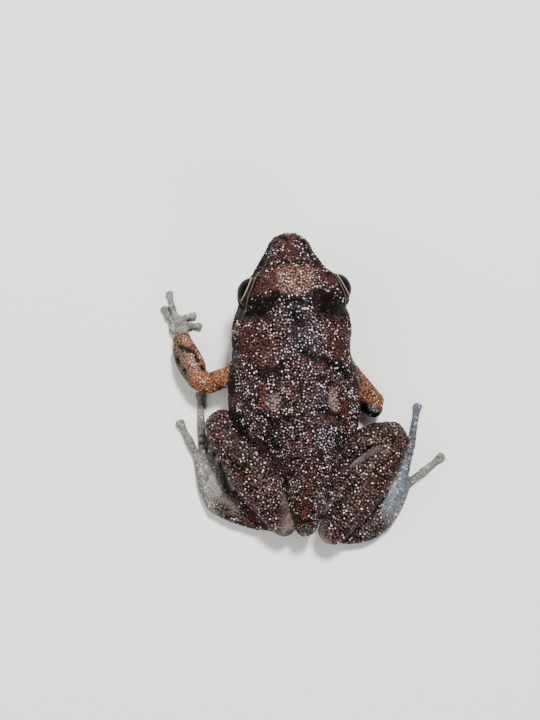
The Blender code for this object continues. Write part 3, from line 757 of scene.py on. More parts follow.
def opening_edge(x, y, z, way):
    """How far a point is outside the eye's opening, along the eyeball, and from its centre."""
    gaze, along, up = eye_axes(way)
    step = [a - c for a, c in zip((x, y, z), eye_centre(way))]
    out, ahead, rise = [sum(s * a for s, a in zip(step, axis)) for axis in (gaze, along, up)]
    away = np.sqrt(step[0] ** 2 + step[1] ** 2 + step[2] ** 2)
    tall = np.where(rise > 0, OPENING_UP, OPENING_DOWN)
    wide = np.where(ahead > 0, OPENING_AHEAD, OPENING_BEHIND)
    turned = np.arctan2(ahead, np.maximum(out, 0.0) + 1e-6)
    raised = np.arcsin(np.clip(rise / (away + 1e-6), -1, 1))
    share = np.hypot(turned / wide, raised / tall)
    share = np.where(out > 0, share, np.maximum(share, BEHIND_SHARE))
    return (share - 1) * away * OPENING_DOWN, away


def cut_eye_opening(flesh, way):
    """Lids round the eyeball: a thin round shell with an almond opening and a raised edge."""
    centre = np.array(eye_centre(way))
    lid = EYE_RADIUS + LID_THICKNESS
    flesh.add_ball(centre, (lid, lid, lid), EYE_BLEND)
    view, (x, y, z) = flesh.window(centre - lid - REACH, centre + lid + REACH)
    edge, away = opening_edge(x, y, z, way)
    height, beyond, width = LID_RIM
    view -= height * np.exp(-((edge - beyond) / width) ** 2)
    hole = np.maximum(edge, EYE_RADIUS - EYE_POCKET - away)
    view[...] = -blended(-view, hole, LID_ROUNDING)


def shape_ear(flesh, way):
    """The eardrum: a low ring of skin round a shallow dish."""
    centre = mirrored(EAR_CENTRE, way)
    reach = Vector((1.2, 1.2, 1.2))
    view, (_, y, z) = flesh.window(centre - reach, centre + reach)
    away = np.sqrt((y - centre.y) ** 2 + (z - centre.z) ** 2)
    height, width = EAR_RING
    depth, share = EAR_DISH
    view -= height * np.exp(-((away - EAR_RADIUS) / width) ** 2)
    view += depth * np.exp(-(away / (EAR_RADIUS * share)) ** 4)


def shape_nostril(flesh, way):
    """A small swelling with a pit in its outer upper side."""
    nostril = mirrored(NOSTRIL_PLACE, way)
    flesh.swell(nostril, *NOSTRIL_SWELLING)
    (out, ahead, rise), radii, height = NOSTRIL_PIT
    flesh.swell(nostril + Vector((out * way, ahead, rise)), radii, height)


def shape_mouth(flesh):
    """The line of the mouth, with a full lip above and below it."""
    view, (x, y, z) = flesh.window((-5.5, MOUTH_CORNER - 0.8, 1.8), (5.5, 14.0, 4.6))
    level = smooth_values(MOUTH_HEIGHT, y)
    fade = np.clip((y - MOUTH_CORNER + 0.5) / 0.6, 0, 1)
    middle = smooth_values(SPINE_SHIFT, y)
    outside = np.clip((np.abs(x - middle) / smooth_values(HALF_WIDTH, y) - 0.4) * 4, 0, 1)
    fade = fade * np.where(y > SNOUT_TIP, 1.0, outside)
    for height, above, width in LIPS:
        view -= fade * height * np.exp(-((z - level - above) / width) ** 2)


def shape_trunk(flesh):
    """Shoulders, the groove of the spine, the hump over the hips and the tail bone's ridge."""
    flesh.ridge(*SPINE_GROOVE)
    flesh.ridge(*TAIL_BONE)
    for way in SIDES.values():
        swell_side(flesh, HIP_HUMP, way)
        ridge_side(flesh, RUMP_FURROW, way)
        swell_side(flesh, SHOULDER, way)
        swell_side(flesh, ARMPIT, way)
        for upper, lower in WRINKLES:
            middle = (Vector(upper) + Vector(lower)) / 2 + WRINKLE_BEND
            ridge_side(flesh, ((upper, middle, lower), WRINKLE_WIDTH, WRINKLE_HEIGHT), way)
    flesh.swell(*VENT)


def fuse(flesh, form, join, place):
    """Join a form to the flesh, and more softly round the place that it grows from."""
    blend, reach, soft_blend = join
    flesh.add(form, blend, [(place, reach, soft_blend)])


def shape_leg(flesh, side):
    """Thigh, shank, ankle and foot of a folded hind leg."""
    thigh, shank, tarsus = THIGHS[side], SHANKS[side], TARSI[side]
    hip, knee, heel, ankle = thigh[0][0], shank[0][0], shank[-1][0], tarsus[-1][0]
    fuse(flesh, limb(thigh), THIGH_JOIN, hip)
    fuse(flesh, limb(shank), SHANK_JOIN, knee)
    flesh.add(limb(WEBS[side]), WEB_BLEND)
    fuse(flesh, limb(tarsus), TARSUS_JOIN, heel)
    flesh.add(limb(LEG_WEBS[side]), LEG_WEB_BLEND)
    for path, width, height in LEG_FOLDS[side]:
        flesh.ridge(path, width, height, tall=LEG_FOLD_TALL)
    add_foot(flesh, INSTEPS[side], TOES[side], TOE_RADIUS, TOE_DISC, ankle)


def shape_arm(flesh, side):
    """Upper arm, forearm and hand."""
    upper, fore = UPPER_ARMS[side], FOREARMS[side]
    shoulder, elbow, wrist = upper[0][0], fore[0][0], fore[-1][0]
    fuse(flesh, limb(upper), UPPER_ARM_JOIN, shoulder)
    fuse(flesh, limb(fore), FOREARM_JOIN, elbow)
    add_foot(flesh, PALMS[side], FINGERS[side], FINGER_RADIUS, FINGER_DISC, wrist)


def add_foot(flesh, palm, digits, radius, disc, wrist):
    """A hand or a foot: the flat of it, its digits, and the bones that show through."""
    fuse(flesh, limb(palm), PALM_JOIN, wrist)
    for plan in digits:
        knuckle = Vector((*plan[0], DIGIT_HEIGHT))
        fuse(flesh, limb(digit_joints(plan, radius, disc), DIGIT_RINGS), DIGIT_JOIN, knuckle)
    for plan in digits:
        start = Vector(palm[1][0]) + Vector((0, 0, palm[1][2]))
        knuckle = Vector((*plan[0], DIGIT_HEIGHT + radius))
        ray = knuckle + (start - knuckle) * RAY_SHARE
        flesh.ridge([ray, (ray + knuckle) / 2, knuckle], RAY_WIDTH, RAY_HEIGHT)


def shape_flesh():
    """The whole frog as one form, resting flat on the floor."""
    flesh = Flesh(ROOM_LOW, ROOM_HIGH)
    flesh.add(whole_body(), BODY_BLEND)
    shape_trunk(flesh)
    for side in SIDES:
        shape_leg(flesh, side)
        shape_arm(flesh, side)
    shape_head(flesh)
    view, (_, _, z) = flesh.window(ROOM_LOW, (*ROOM_HIGH[:2], FLOOR_CUT))
    view[...] = np.maximum(view, -z)
    return flesh.surface()


def evened(points, quads):
    """The points with the fine steps of the grid smoothed out, and the form no smaller."""
    start, end = np.concatenate([quads[:, [i, (i + 1) % 4]] for i in range(4)]).T
    near = np.bincount(start, minlength=len(points))
    resting = points[:, 2] < CELL / 4
    smooth = points.astype(float)
    for step in SMOOTHING_STEPS * SMOOTHINGS:
        sums = [np.bincount(start, smooth[end, i], len(points)) for i in range(3)]
        smooth += (np.stack(sums, 1) / near[:, None] - smooth) * step
    smooth[:, 2] = np.where(resting, points[:, 2], np.maximum(smooth[:, 2], 0))
    return smooth


def placed(points):
    """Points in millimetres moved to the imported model's place, in metres."""
    return points * MM + np.array(FROG_ORIGIN)


def skin_mesh(points, quads):
    """A smooth-shaded mesh object from arrays of points and four-sided faces."""
    mesh = bpy.data.meshes.new("skin")
    mesh.vertices.add(len(points))
    mesh.loops.add(quads.size)
    mesh.polygons.add(len(quads))
    mesh.vertices.foreach_set("co", placed(points).astype(np.float32).ravel())
    mesh.loops.foreach_set("vertex_index", quads.astype(np.int32).ravel())
    mesh.polygons.foreach_set("loop_start", np.arange(0, quads.size, 4, dtype=np.int32))
    mesh.update(calc_edges=True)
    mesh.validate()
    mesh.shade_smooth()
    obj = bpy.data.objects.new("skin", mesh)
    bpy.context.scene.collection.objects.link(obj)
    return obj


# Skin markings

def unwrap(skin):
    """A flat map of the smooth skin, made before the grain so that it falls in few pieces."""
    bpy.ops.object.select_all(action="DESELECT")
    skin.select_set(True)
    bpy.context.view_layer.objects.active = skin
    skin.data.uv_layers.new(name="OFBake")
    bpy.ops.object.mode_set(mode="EDIT")
    bpy.ops.mesh.select_all(action="SELECT")
    bpy.ops.uv.smart_project(angle_limit=1.15, island_margin=0.002)
    bpy.ops.object.mode_set(mode="OBJECT")


def pair(start, end, half_width):
    """The same mark on both sides of the midline."""
    return [(start, end, half_width), ((-start[0], start[1]), (-end[0], end[1]), half_width)]


# Each mark is a soft-edged band or spot, as the frog carries it seen from above: the ends of its
# middle line, as (offset from the bent midline, distance forward), and its half width.
BODY_MARKS = {
    "dark": [
        ((-1.0, 10.88), (1.05, 10.8), 0.17),
        ((-3.9, 7.1), (-2.45, 6.95), 0.42),
        ((-2.55, 7.15), (-1.55, 8.15), 0.48),
        ((1.5, 8.35), (2.45, 7.7), 0.5),
        ((2.0, 6.95), (4.1, 6.95), 0.45),
        ((-1.2, 7.9), (1.2, 7.8), 0.42),
        ((-3.6, 7.9), (-2.6, 7.85), 0.5),
        ((2.7, 8.1), (3.7, 7.7), 0.45),
        ((1.05, 12.55), (1.42, 11.45), 0.16),
        ((1.42, 11.45), (2.1, 10.5), 0.2),
        ((-1.36, 12.5), (-2.0, 11.5), 0.14),
        ((-2.0, 11.5), (-2.5, 10.7), 0.2),
        *pair((2.75, 9.75), (3.2, 9.9), 0.22),
        ((-0.2, 6.9), (0.35, 6.1), 0.5),
        ((0.45, 3.9), (0.35, 4.7), 0.22),
        ((-3.0, 2.3), (-1.9, 2.4), 0.34),
        ((-1.9, 2.4), (-0.5, 3.2), 0.24),
        ((-0.5, 3.2), (0.5, 3.9), 0.22),
        ((0.5, 3.9), (1.6, 3.3), 0.25),
        ((1.6, 3.3), (2.9, 2.8), 0.36),
        ((2.9, 2.8), (4.1, 1.9), 0.42),
        ((-3.1, -0.7), (-2.2, -1.4), 0.22),
        ((-2.2, -1.4), (-0.7, -1.1), 0.26),
        ((1.7, -0.6), (3.1, -1.4), 0.3),
        ((0.25, 2.8), (0.25, 0.2), 0.07),
        ((-2.9, -2.7), (-2.4, -3.4), 0.5),
        ((3.0, -3.0), (2.6, -3.6), 0.45),
        ((-0.2, -9.6), (0.1, -9.5), 0.22),
        ((-0.75, 12.95), (-0.3, 12.78), 0.16),
        *pair((2.0, 11.4), (2.9, 9.9), 0.4),
        *pair((4.75, 2.2), (4.9, 1.0), 0.35),
        *pair((4.9, -0.6), (4.4, -1.9), 0.4),
        ((-4.4, 4.9), (-4.5, 4.3), 0.2),
    ],
    "red": [
        ((-0.1, 12.5), (0.0, 11.5), 0.85),
        *pair((2.45, 9.25), (3.1, 8.75), 0.6),
        *pair((1.75, 10.3), (2.2, 9.9), 0.4),
        ((-3.5, 5.5), (-3.2, 3.9), 0.72),
        ((3.2, 5.4), (3.4, 3.6), 0.62),
        ((-1.9, 4.6), (-1.1, 4.3), 0.45),
        ((3.5, -0.2), (3.8, -1.7), 0.36),
        ((0.62, -1.4), (0.3, -3.5), 0.09),
        ((-0.36, -7.4), (-0.25, -9.3), 0.34),
        ((0.1, -5.2), (-0.1, -6.6), 0.24),
        ((-0.6, 1.5), (-0.5, 0.9), 0.2),
    ],
    "orange": [
        ((-2.6, 1.2), (-2.64, -0.3), 0.24),
        ((-1.66, 9.6), (-1.72, 8.8), 0.18),
        ((-2.72, 5.52), (-2.72, 5.5), 0.17),
        ((-2.75, 3.15), (-2.72, 3.12), 0.24),
        ((-0.3, -8.6), (-0.34, -9.1), 0.22),
        ((0.55, -2.5), (0.45, -2.9), 0.1),
    ],
    "tan": [
        ((-0.1, 9.9), (0.1, 9.1), 1.0),
        ((-0.9, 10.0), (-0.9, 8.95), 0.5),
        ((1.2, 9.9), (1.0, 8.9), 0.5),
    ],
    "pale": [
        ((-1.92, 0.12), (-1.9, -0.08), 0.5),
        ((2.75, 0.4), (2.6, -1.0), 0.34),
    ],
    # Rows of bright flecks: pale pigment and painted glints.
    "silver": [
        ((0.86, -1.45), (0.56, -3.0), 0.1),
        ((-1.5, 11.7), (-0.6, 11.9), 0.12),
        ((0.5, 12.1), (0.9, 11.7), 0.1),
    ],
    "lilac": [
        ((0.3, 6.3), (0.6, 4.9), 0.95),
        ((1.5, 4.3), (1.5, 3.9), 0.5),
        ((-0.9, 4.3), (-0.8, 3.9), 0.4),
        ((1.8, 1.0), (1.9, -0.2), 0.5),
        ((1.3, -2.4), (1.6, -3.4), 0.9),
        ((0.9, -7.2), (0.7, -8.0), 0.4),
    ],
    "grey": [
        ((-0.6, -10.55), (0.8, -10.5), 0.42),
    ],
    "gold": [
        ((-1.7, 5.9), (-2.1, 5.0), 0.6),
        ((-0.5, 9.8), (-0.4, 9.4), 0.4),
        ((0.6, 9.3), (0.7, 9.0), 0.4),
        ((-0.3, -0.7), (0.2, -1.6), 0.5),
    ],
    "bare": [
        ((-3.9, 7.0), (-2.5, 6.85), 0.32),
        ((-2.5, 7.2), (-1.7, 8.0), 0.4),
        ((1.5, 8.35), (2.4, 7.75), 0.38),
        ((2.1, 6.95), (4.0, 6.9), 0.4),
        ((-2.0, 2.5), (-1.5, 2.8), 0.25),
        ((1.7, 3.2), (2.4, 3.0), 0.22),
    ],
}
# The same for the limbs, as (right of mid-body, distance forward).
LIMB_MARKS = {
    "dark": [
        ((-3.35, -8.75), (-2.9, -9.1), 0.28),
        ((-5.2, -4.7), (-4.6, -5.4), 0.3),
        ((-4.5, -6.6), (-3.9, -7.3), 0.26),
        ((2.86, -8.5), (3.4, -8.1), 0.22),
        ((5.6, -6.0), (6.3, -5.4), 0.25),
        ((3.3, -10.8), (3.1, -11.1), 0.26),
        ((6.1, -8.95), (6.3, -9.1), 0.24),
        ((-9.1, 4.75), (-8.0, 4.2), 0.17),
        ((-8.1, 4.25), (-7.75, 3.5), 0.16),
        ((-9.35, 3.7), (-9.3, 3.5), 0.17),
        ((-8.9, 2.9), (-8.85, 2.8), 0.16),
        ((-7.55, 3.1), (-7.4, 2.8), 0.14),
        ((6.35, -1.75), (6.8, -1.5), 0.14),
        ((5.5, -0.6), (5.6, -0.9), 0.16),
        ((6.0, -1.75), (6.3, -1.5), 0.09),
        ((3.6, -5.5), (4.5, -4.75), 0.13),
        ((4.5, -4.75), (6.3, -3.6), 0.12),
        # Painted shade on the outer side of the right knee.
        ((7.2, -3.2), (7.5, -3.7), 0.3),
    ],
    "red": [
        ((-6.4, -0.7), (-6.1, -1.1), 0.4),
        ((-6.7, -2.3), (-6.6, -2.8), 0.42),
        ((-4.1, -2.2), (-4.0, -2.7), 0.24),
        ((-5.2, -5.4), (-4.9, -5.9), 0.35),
        ((6.9, -2.35), (5.3, -2.2), 0.32),
        ((7.8, -4.2), (7.5, -5.2), 0.45),
        ((6.3, -5.9), (5.5, -6.7), 0.5),
        ((-2.7, -7.9), (-2.5, -8.2), 0.2),
    ],
    "orange": [
        ((-4.95, -5.7), (-4.8, -5.95), 0.24),
        ((-3.85, -9.45), (-4.2, -9.25), 0.28),
        ((4.1, -10.75), (3.9, -10.7), 0.25),
        ((2.55, -10.9), (2.4, -11.1), 0.22),
        ((6.5, -7.1), (6.7, -6.9), 0.22),
        ((-5.5, -6.3), (-5.3, -6.6), 0.2),
    ],
    "bare": [
        ((-3.55, -3.6), (-2.8, -4.45), 0.26),
        ((-2.8, -4.45), (-2.0, -5.5), 0.36),
        ((-2.0, -5.5), (-1.45, -6.95), 0.36),
        ((-1.45, -6.95), (-0.96, -8.95), 0.46),
        ((-0.96, -8.95), (-1.3, -9.95), 0.55),
        ((-1.3, -9.95), (-2.1, -10.9), 0.45),
        ((3.1, -5.9), (4.26, -5.25), 0.24),
        ((4.26, -5.25), (6.2, -4.2), 0.18),
        ((3.0, -6.3), (2.4, -7.5), 0.28),
        ((2.4, -7.5), (1.4, -9.3), 0.28),
        ((1.25, -9.9), (1.2, -11.1), 0.42),
        ((1.3, -11.2), (2.1, -11.95), 0.36),
        ((-6.3, -7.6), (-5.4, -8.2), 0.4),
    ],
    # Rows of bright flecks: pale pigment and painted glints.
    "silver": [
        ((3.5, -5.0), (4.3, -4.2), 0.26),
        ((4.3, -4.2), (5.9, -3.05), 0.24),
        ((5.9, -3.05), (7.1, -2.55), 0.26),
        ((-7.5, 1.8), (-7.6, 2.2), 0.3),
        ((-7.9, 2.6), (-8.3, 3.9), 0.22),
        ((7.3, -8.2), (8.1, -7.0), 0.22),
        ((8.1, -7.0), (8.8, -6.1), 0.2),
        ((-6.6, -4.75), (-6.5, -4.6), 0.2),
        ((6.2, -0.9), (6.4, -1.2), 0.22),
    ],
    "lilac": [
        ((3.1, -5.9), (4.26, -5.25), 0.34),
        ((4.26, -5.25), (6.3, -4.15), 0.3),
    ],
    "grey": [
        ((-8.9, 2.4), (-9.55, 5.3), 0.5),
        ((-8.5, 4.0), (-8.9, 4.6), 0.25),
        ((-6.9, -1.3), (-7.4, -2.3), 0.5),
        ((4.6, 2.3), (5.1, 1.3), 0.35),
        ((4.2, 1.9), (4.9, 0.8), 0.4),
        ((-6.6, -7.9), (-5.2, -8.9), 0.7),
        ((6.8, -10.3), (5.4, -11.0), 0.6),
    ],
    "blue": [
        ((7.0, -9.6), (8.3, -8.0), 0.75),
        ((8.3, -8.0), (9.0, -6.2), 0.6),
        ((9.0, -6.2), (10.2, -1.2), 0.45),
        ((5.7, -0.9), (6.5, -1.6), 0.42),
    ],
    "pink": [
        ((-8.3, 5.2), (-8.6, 5.35), 0.42),
        ((-8.0, 3.2), (-8.2, 3.9), 0.5),
    ],
}


def band(x, y, start, end, half_width):
    """1 on the middle line of a band, falling to 0 about one and a half half widths away."""
    start, end = np.array(start), np.array(end)
    along = end - start
    length = max(float(along @ along), 1e-9)
    share = np.clip(((x - start[0]) * along[0] + (y - start[1]) * along[1]) / length, 0, 1)
    away = np.hypot(x - start[0] - share * along[0], y - start[1] - share * along[1])
    return np.exp(-np.log(2) * (away / half_width) ** 2.5)


def marked(x, y, marks):
    """The strongest of the marks at each point."""
    total = np.zeros_like(x)
    for start, end, half_width in marks:
        total = np.maximum(total, band(x, y, start, end, half_width))
    return total


def near_limb(points, joints, spare):
    """1 inside a limb's tube of flesh and a little beyond it, else 0, with a soft edge."""
    path = [Vector(joint[0]) for joint in joints]
    widths = [Vector((joint[1], joint[2], 0.0)) for joint in joints]
    widest = max(max(width) for width in widths) * 1.3 + spare
    places = np.array([tuple(place) for place in path])
    close = np.all((points > places.min(0) - widest) & (points < places.max(0) + widest), axis=1)
    nearby = points[close]
    best = np.full(len(nearby), np.inf)
    for i in range(LIMB_STOPS + 1):
        share = i / LIMB_STOPS
        centre, radius = spline_point(path, share), spline_point(widths, share)
        size = np.array((radius.x, radius.x, radius.y)) + spare
        best = np.minimum(best, np.linalg.norm((nearby - np.array(centre)) / size, axis=1))
    total = np.zeros(len(points))
    total[close] = np.clip((1.25 - best) / 0.35, 0, 1)
    return total


def limb_masks(points):
    """Which of the skin belongs to the arms, to the legs, and to the hands and feet."""
    x, y, z = points.T
    arm, foot, leg = np.zeros_like(x), np.zeros_like(x), np.zeros_like(x)
    for side in SIDES:
        for joints in UPPER_ARMS[side], FOREARMS[side]:
            arm = np.maximum(arm, near_limb(points, joints, 0.1))
        for joints in THIGHS[side], SHANKS[side], TARSI[side], LEG_WEBS[side]:
            leg = np.maximum(leg, near_limb(points, joints, 0.0))
        for plans, flats, radius, disc in (
            (TOES, INSTEPS, TOE_RADIUS, TOE_DISC), (FINGERS, PALMS, FINGER_RADIUS, FINGER_DISC),
        ):
            foot = np.maximum(foot, near_limb(points, flats[side], 0.05))
            for plan in plans[side]:
                foot = np.maximum(foot, near_limb(points, digit_joints(plan, radius, disc), 0.05))
    trunk = np.abs(x - smooth_values(SPINE_SHIFT, y)) < smooth_values(HALF_WIDTH, y) * 0.98
    trunk &= (z > smooth_values(SIDE_HEIGHT, y) - 0.5) & (leg < 0.5) | (y > 6)
    foot = foot * (z < 1.6)
    return arm * (1 - foot) * ~trunk, foot, leg * (1 - foot) * ~trunk


def skin_masks(points, normals):
    """Where each colour and grain of the skin lies, from 0 to 1 at every point."""
    x, y, z = points.T
    up = normals[:, 2]
    arm, foot, leg = limb_masks(points)
    limbs = np.maximum(np.maximum(arm, foot), leg)
    sideways = x - smooth_values(SPINE_SHIFT, y)
    top = np.clip((up + 0.35) / 0.5, 0, 1)
    left_web, right_web = [near_limb(points, WEBS[side], 0.0) for side in SIDES]
    on_limbs = np.maximum(limbs, np.maximum(left_web, right_web))
    masks = {name: np.zeros_like(x) for name in MASKS}
    for marks, offset, where in (BODY_MARKS, sideways, 1 - limbs), (LIMB_MARKS, x, on_limbs):
        for name, rows in marks.items():
            masks[name] = np.maximum(masks[name], marked(offset, y, rows) * top * where)
    masks["leg"], masks["arm"], masks["foot"] = leg, arm, foot
    side = np.clip((0.55 - up) / 0.4, 0, 1) * (1 - limbs)
    masks["side"] = side * np.clip((y + 9) / 3, 0, 1)
    low = np.clip((3.1 - z) / 1.2, 0, 1)
    masks["belly"] = np.clip((-up + 0.25) / 0.6, 0, 1) * low * (1 - foot)
    for way in SIDES.values():
        line, strip = lid_masks(x, y, z, way)
        masks["lid_edge"] = np.maximum(masks["lid_edge"], line)
        masks["dark"] = np.maximum(masks["dark"], strip)
        masks["bare"] = np.maximum(masks["bare"], strip)
    return masks


def lid_masks(x, y, z, way):
    """The pale line on the outer edge of an eye's lids, and the dark strip round the opening."""
    beyond, away = opening_edge(x, y, z, way)
    near = np.abs(away - EYE_RADIUS) < 0.6
    upper = 0.1 + 0.9 * np.clip((z - EYE_PLACE[2] - 0.2) / 0.5, 0, 1)
    outer = np.clip((away - EYE_RADIUS - LID_THICKNESS + 0.06) / 0.05, 0, 1)
    line = near * upper * outer * np.exp(-((beyond - LID_EDGE_BEYOND) / LID_EDGE_WIDTH) ** 2)
    reach = (LID_STRIP - LID_STRIP_NARROWING) + LID_STRIP_NARROWING * upper
    return line, near * np.clip((reach - beyond) / 0.08, 0, 1)


# Granules

def clouds(points, size, seed):
    """Soft random patches about size across, from 0 to 1."""
    places = (points - points.min(0)) / size
    low = places.astype(int)
    share = places - low
    share = share * share * (3 - 2 * share)
    lattice = np.random.default_rng(seed).random(low.max(0) + 2)
    total = np.zeros(len(points))
    for corner in np.ndindex(2, 2, 2):
        weight = np.prod(np.where(corner, share, 1 - share), axis=1)
        total += weight * lattice[tuple((low + corner).T)]
    return total


def seat_granules(points, room):
    """Spread granules over the skin, none nearer to another than the room it needs. Gives the
    point that each is seated on, and for every point its nearest granule and how far that is."""
    places = points.tolist()
    tree = KDTree(len(places))
    for i, place in enumerate(places):
        tree.insert(place, i)
    tree.balance()
    room = room.tolist()
    taken = bytearray(len(places))
    away = [GRANULE_REACH] * len(places)
    owner = [0] * len(places)
    seats = []
    for i in np.random.default_rng(GRANULE_SEED).permutation(len(places)).tolist():
        if taken[i]:
            continue
        needed, number = room[i], len(seats)
        seats.append(i)
        for _, j, distance in tree.find_range(places[i], GRANULE_REACH):
            if distance < needed:
                taken[j] = 1
            if distance < away[j]:
                away[j], owner[j] = distance, number
    return np.array(seats), np.array(owner), np.array(away)


def granule_masks(points, normals, masks):
    """Seats the granules, and gives each its height, its own number and its pale fleck, which is
    part pale pigment and part painted glint. Fewer flecks and lower granules lie on the
    underside, the flecks favouring upward-facing tops as glints do, and flecks are left off
    the lids' edges."""
    up = normals[:, 2]
    room = np.full(len(points), GRANULE)
    room -= sum(masks[name] * less for name, less in GRANULE_ROOM_LESS.items())
    room += sum(masks[name] * more for name, more in GRANULE_ROOM_MORE.items())
    seats, owner, away = seat_granules(points, room)
    random = np.random.default_rng(GRANULE_SEED + 1)
    own, size, chance = random.random((3, len(seats)))
    at = {name: mask[seats] for name, mask in masks.items()}
    patches = clouds(points[seats], FLECK_PATCH_SIZE, GRANULE_SEED + 2)
    likely = FLECK_CHANCE + FLECK_PATCH_CHANCE * patches
    for name, more in FLECK_CHANCES.items():
        likely = likely + more * at[name]
    # Painted glints: flecks are likelier on granules that face up, towards the lights.
    glint_facing = np.clip(0.65 + 0.6 * up[seats], 0.15, 1)
    likely = np.maximum(likely * glint_facing, SILVER_CHANCE * at["silver"])
    radius = FLECK_RADIUS * (0.5 + 0.75 * own ** 2 + 0.35 * size)
    radius = radius * (1 - 0.3 * at["foot"] - 0.15 * at["arm"])
    radius = np.where((chance < likely) & (at["lid_edge"] < 0.2), radius, 0.0)
    tall = (0.55 + 0.75 * own) * (1 - 0.6 * at["foot"] - 0.4 * at["arm"] - 0.75 * at["bare"])
    tall = tall * np.clip(0.45 + up[seats] * 0.8, 0.35, 1) * (1 - at["lid_edge"])
    dome = np.clip(1 - (away / (GRANULE * 0.62)) ** 2, 0, 1)
    return {"away": away, "fleck": radius[owner], "own": own[owner], "dome": dome * tall[owner]}


# Node trees

class Nodes:
    """Adds nodes to one tree. A value given to a socket is a number, a colour or an output."""

    def __init__(self, tree):
        self.tree = tree

    def feed(self, socket, value):
        """Link an output to a socket, or set the socket to a plain value."""
        if isinstance(value, bpy.types.NodeSocket):
            self.tree.links.new(value, socket)
        elif value is not None:
            socket.default_value = value

    def add(self, kind, inputs=(), **settings):
        """A node with its settings, and its inputs given by name or number."""
        node = self.tree.nodes.new(kind)
        for name, value in settings.items():
            setattr(node, name, value)
        for name, value in dict(inputs).items():
            self.feed(node.inputs[name], value)
        return node

    def calc(self, operation, a, b=None, c=None):
        """One step of arithmetic."""
        return self.add("ShaderNodeMath", {0: a, 1: b, 2: c}, operation=operation).outputs[0]

    def times(self, a, b, plus=None):
        """a times b, and a third value added."""
        return self.calc("MULTIPLY" if plus is None else "MULTIPLY_ADD", a, b, plus)

    def minus(self, a, b):
        return self.calc("SUBTRACT", a, b)

    def larger(self, a, b):
        return self.calc("MAXIMUM", a, b)

    def scaled(self, vector, factor):
        """A vector made longer or shorter."""
        inputs = {0: vector, "Scale": factor}
        return self.add("ShaderNodeVectorMath", inputs, operation="SCALE").outputs[0]

    def mask(self, value, start, end):
        """0 below start, 1 above end (or the reverse), with a smooth step between."""
        inputs = {"Value": value, "From Min": start, "From Max": end}
        return self.add("ShaderNodeMapRange", inputs, interpolation_type="SMOOTHSTEP").outputs[0]

    def mix(self, share, a, b, way="MIX"):
        """Colour b over colour a."""
        inputs = {0: share, 6: a, 7: b}
        return self.add("ShaderNodeMix", inputs, data_type="RGBA", blend_type=way).outputs[2]

    def noise(self, place, size, detail=3.0, roughness=0.55):
        """Soft noise with features about size across."""
        inputs = {"Vector": place, "Scale": 1 / size, "Detail": detail, "Roughness": roughness}
        return self.add("ShaderNodeTexNoise", inputs).outputs[0]


def group(name, kind, inputs, outputs):
    """A node group with named inputs and outputs. Returns it with its two ends."""
    tree = bpy.data.node_groups.new(name, kind)
    for socket, (socket_kind, value) in inputs.items():
        made = tree.interface.new_socket(socket, in_out="INPUT", socket_type="NodeSocket" + socket_kind)
        if value is not None:
            made.default_value = value
    for socket, socket_kind in outputs.items():
        tree.interface.new_socket(socket, in_out="OUTPUT", socket_type="NodeSocket" + socket_kind)
    return tree, tree.nodes.new("NodeGroupInput"), tree.nodes.new("NodeGroupOutput")


def mottle_group():
    """Blotches with broken edges: where noise and a soft mask together pass a level."""
    tree, start, end = group(
        "broken_edge", "ShaderNodeTree",
        {"Place": ("Vector", None), "Mask": ("Float", 0.0), "Size": ("Float", 0.6),
         "Break": ("Float", 0.6)},
        {"Mask": "Float"},
    )
    n = Nodes(tree)
    given = start.outputs
    scale = n.calc("DIVIDE", 1.0, given["Size"])
    inputs = {"Vector": given["Place"], "Scale": scale, "Detail": 4.0, "Roughness": 0.65}
    noise = n.add("ShaderNodeTexNoise", inputs)
    off = n.times(n.minus(noise.outputs[0], 0.5), given["Break"])
    level = n.times(off, 2.4, given["Mask"])
    shown = n.times(n.mask(level, 0.05, 1.05), n.mask(given["Mask"], 0.0, 0.25))
    n.feed(end.inputs["Mask"], shown)
    return tree


def specks_group():
    """Small specks: a share of the cells holds one, each of its own size."""
    tree, start, end = group(
        "small_specks", "ShaderNodeTree",
        {"Place": ("Vector", None), "Size": ("Float", 0.36), "Share": ("Float", 0.5),
         "Radius": ("Float", 0.2)},
        {"Mask": "Float"},
    )
    n = Nodes(tree)
    given = start.outputs
    scale = n.calc("DIVIDE", 1.0, given["Size"])
    cells = n.add("ShaderNodeTexVoronoi", {"Vector": given["Place"], "Scale": scale})
    own = n.add("ShaderNodeSeparateColor", {0: cells.outputs["Color"]})
    chosen = n.calc("LESS_THAN", own.outputs[0], given["Share"])
    radius = n.times(given["Radius"], n.times(own.outputs[1], 0.9, 0.45))
    inside = n.minus(radius, cells.outputs["Distance"])
    n.feed(end.inputs["Mask"], n.times(chosen, n.mask(inside, -0.03, 0.06)))
    return tree


# Finish of the skin

def skin_ground(n, place, masks):
    """The mottled tones of the body, legs, arms and feet, before any marking."""
    broad = n.noise(place, 1.6, 4.0, 0.6)
    fine = n.noise(place, 0.5, 5.0, 0.65)

    def ground(kind, patches):
        first, second, turn, dark, hollows, strength = GROUNDS[kind]
        tone = n.mix(n.mask(patches, *turn), first, second)
        return n.mix(n.times(n.mask(fine, *hollows), strength), tone, dark)

    flank = n.mix(n.mask(fine, 0.42, 0.56), FLANK_DARK, FLANK_GREY)
    colour = n.mix(n.times(masks["side"], 0.8), ground("body", broad), flank)
    leg = n.mix(masks["bare"], ground("leg", broad), LEG_SMOOTH)
    colour = n.mix(masks["leg"], colour, leg)
    colour = n.mix(masks["arm"], colour, ground("arm", n.noise(place, 0.8)))
    return n.mix(masks["foot"], colour, ground("foot", n.noise(place, 0.9)))


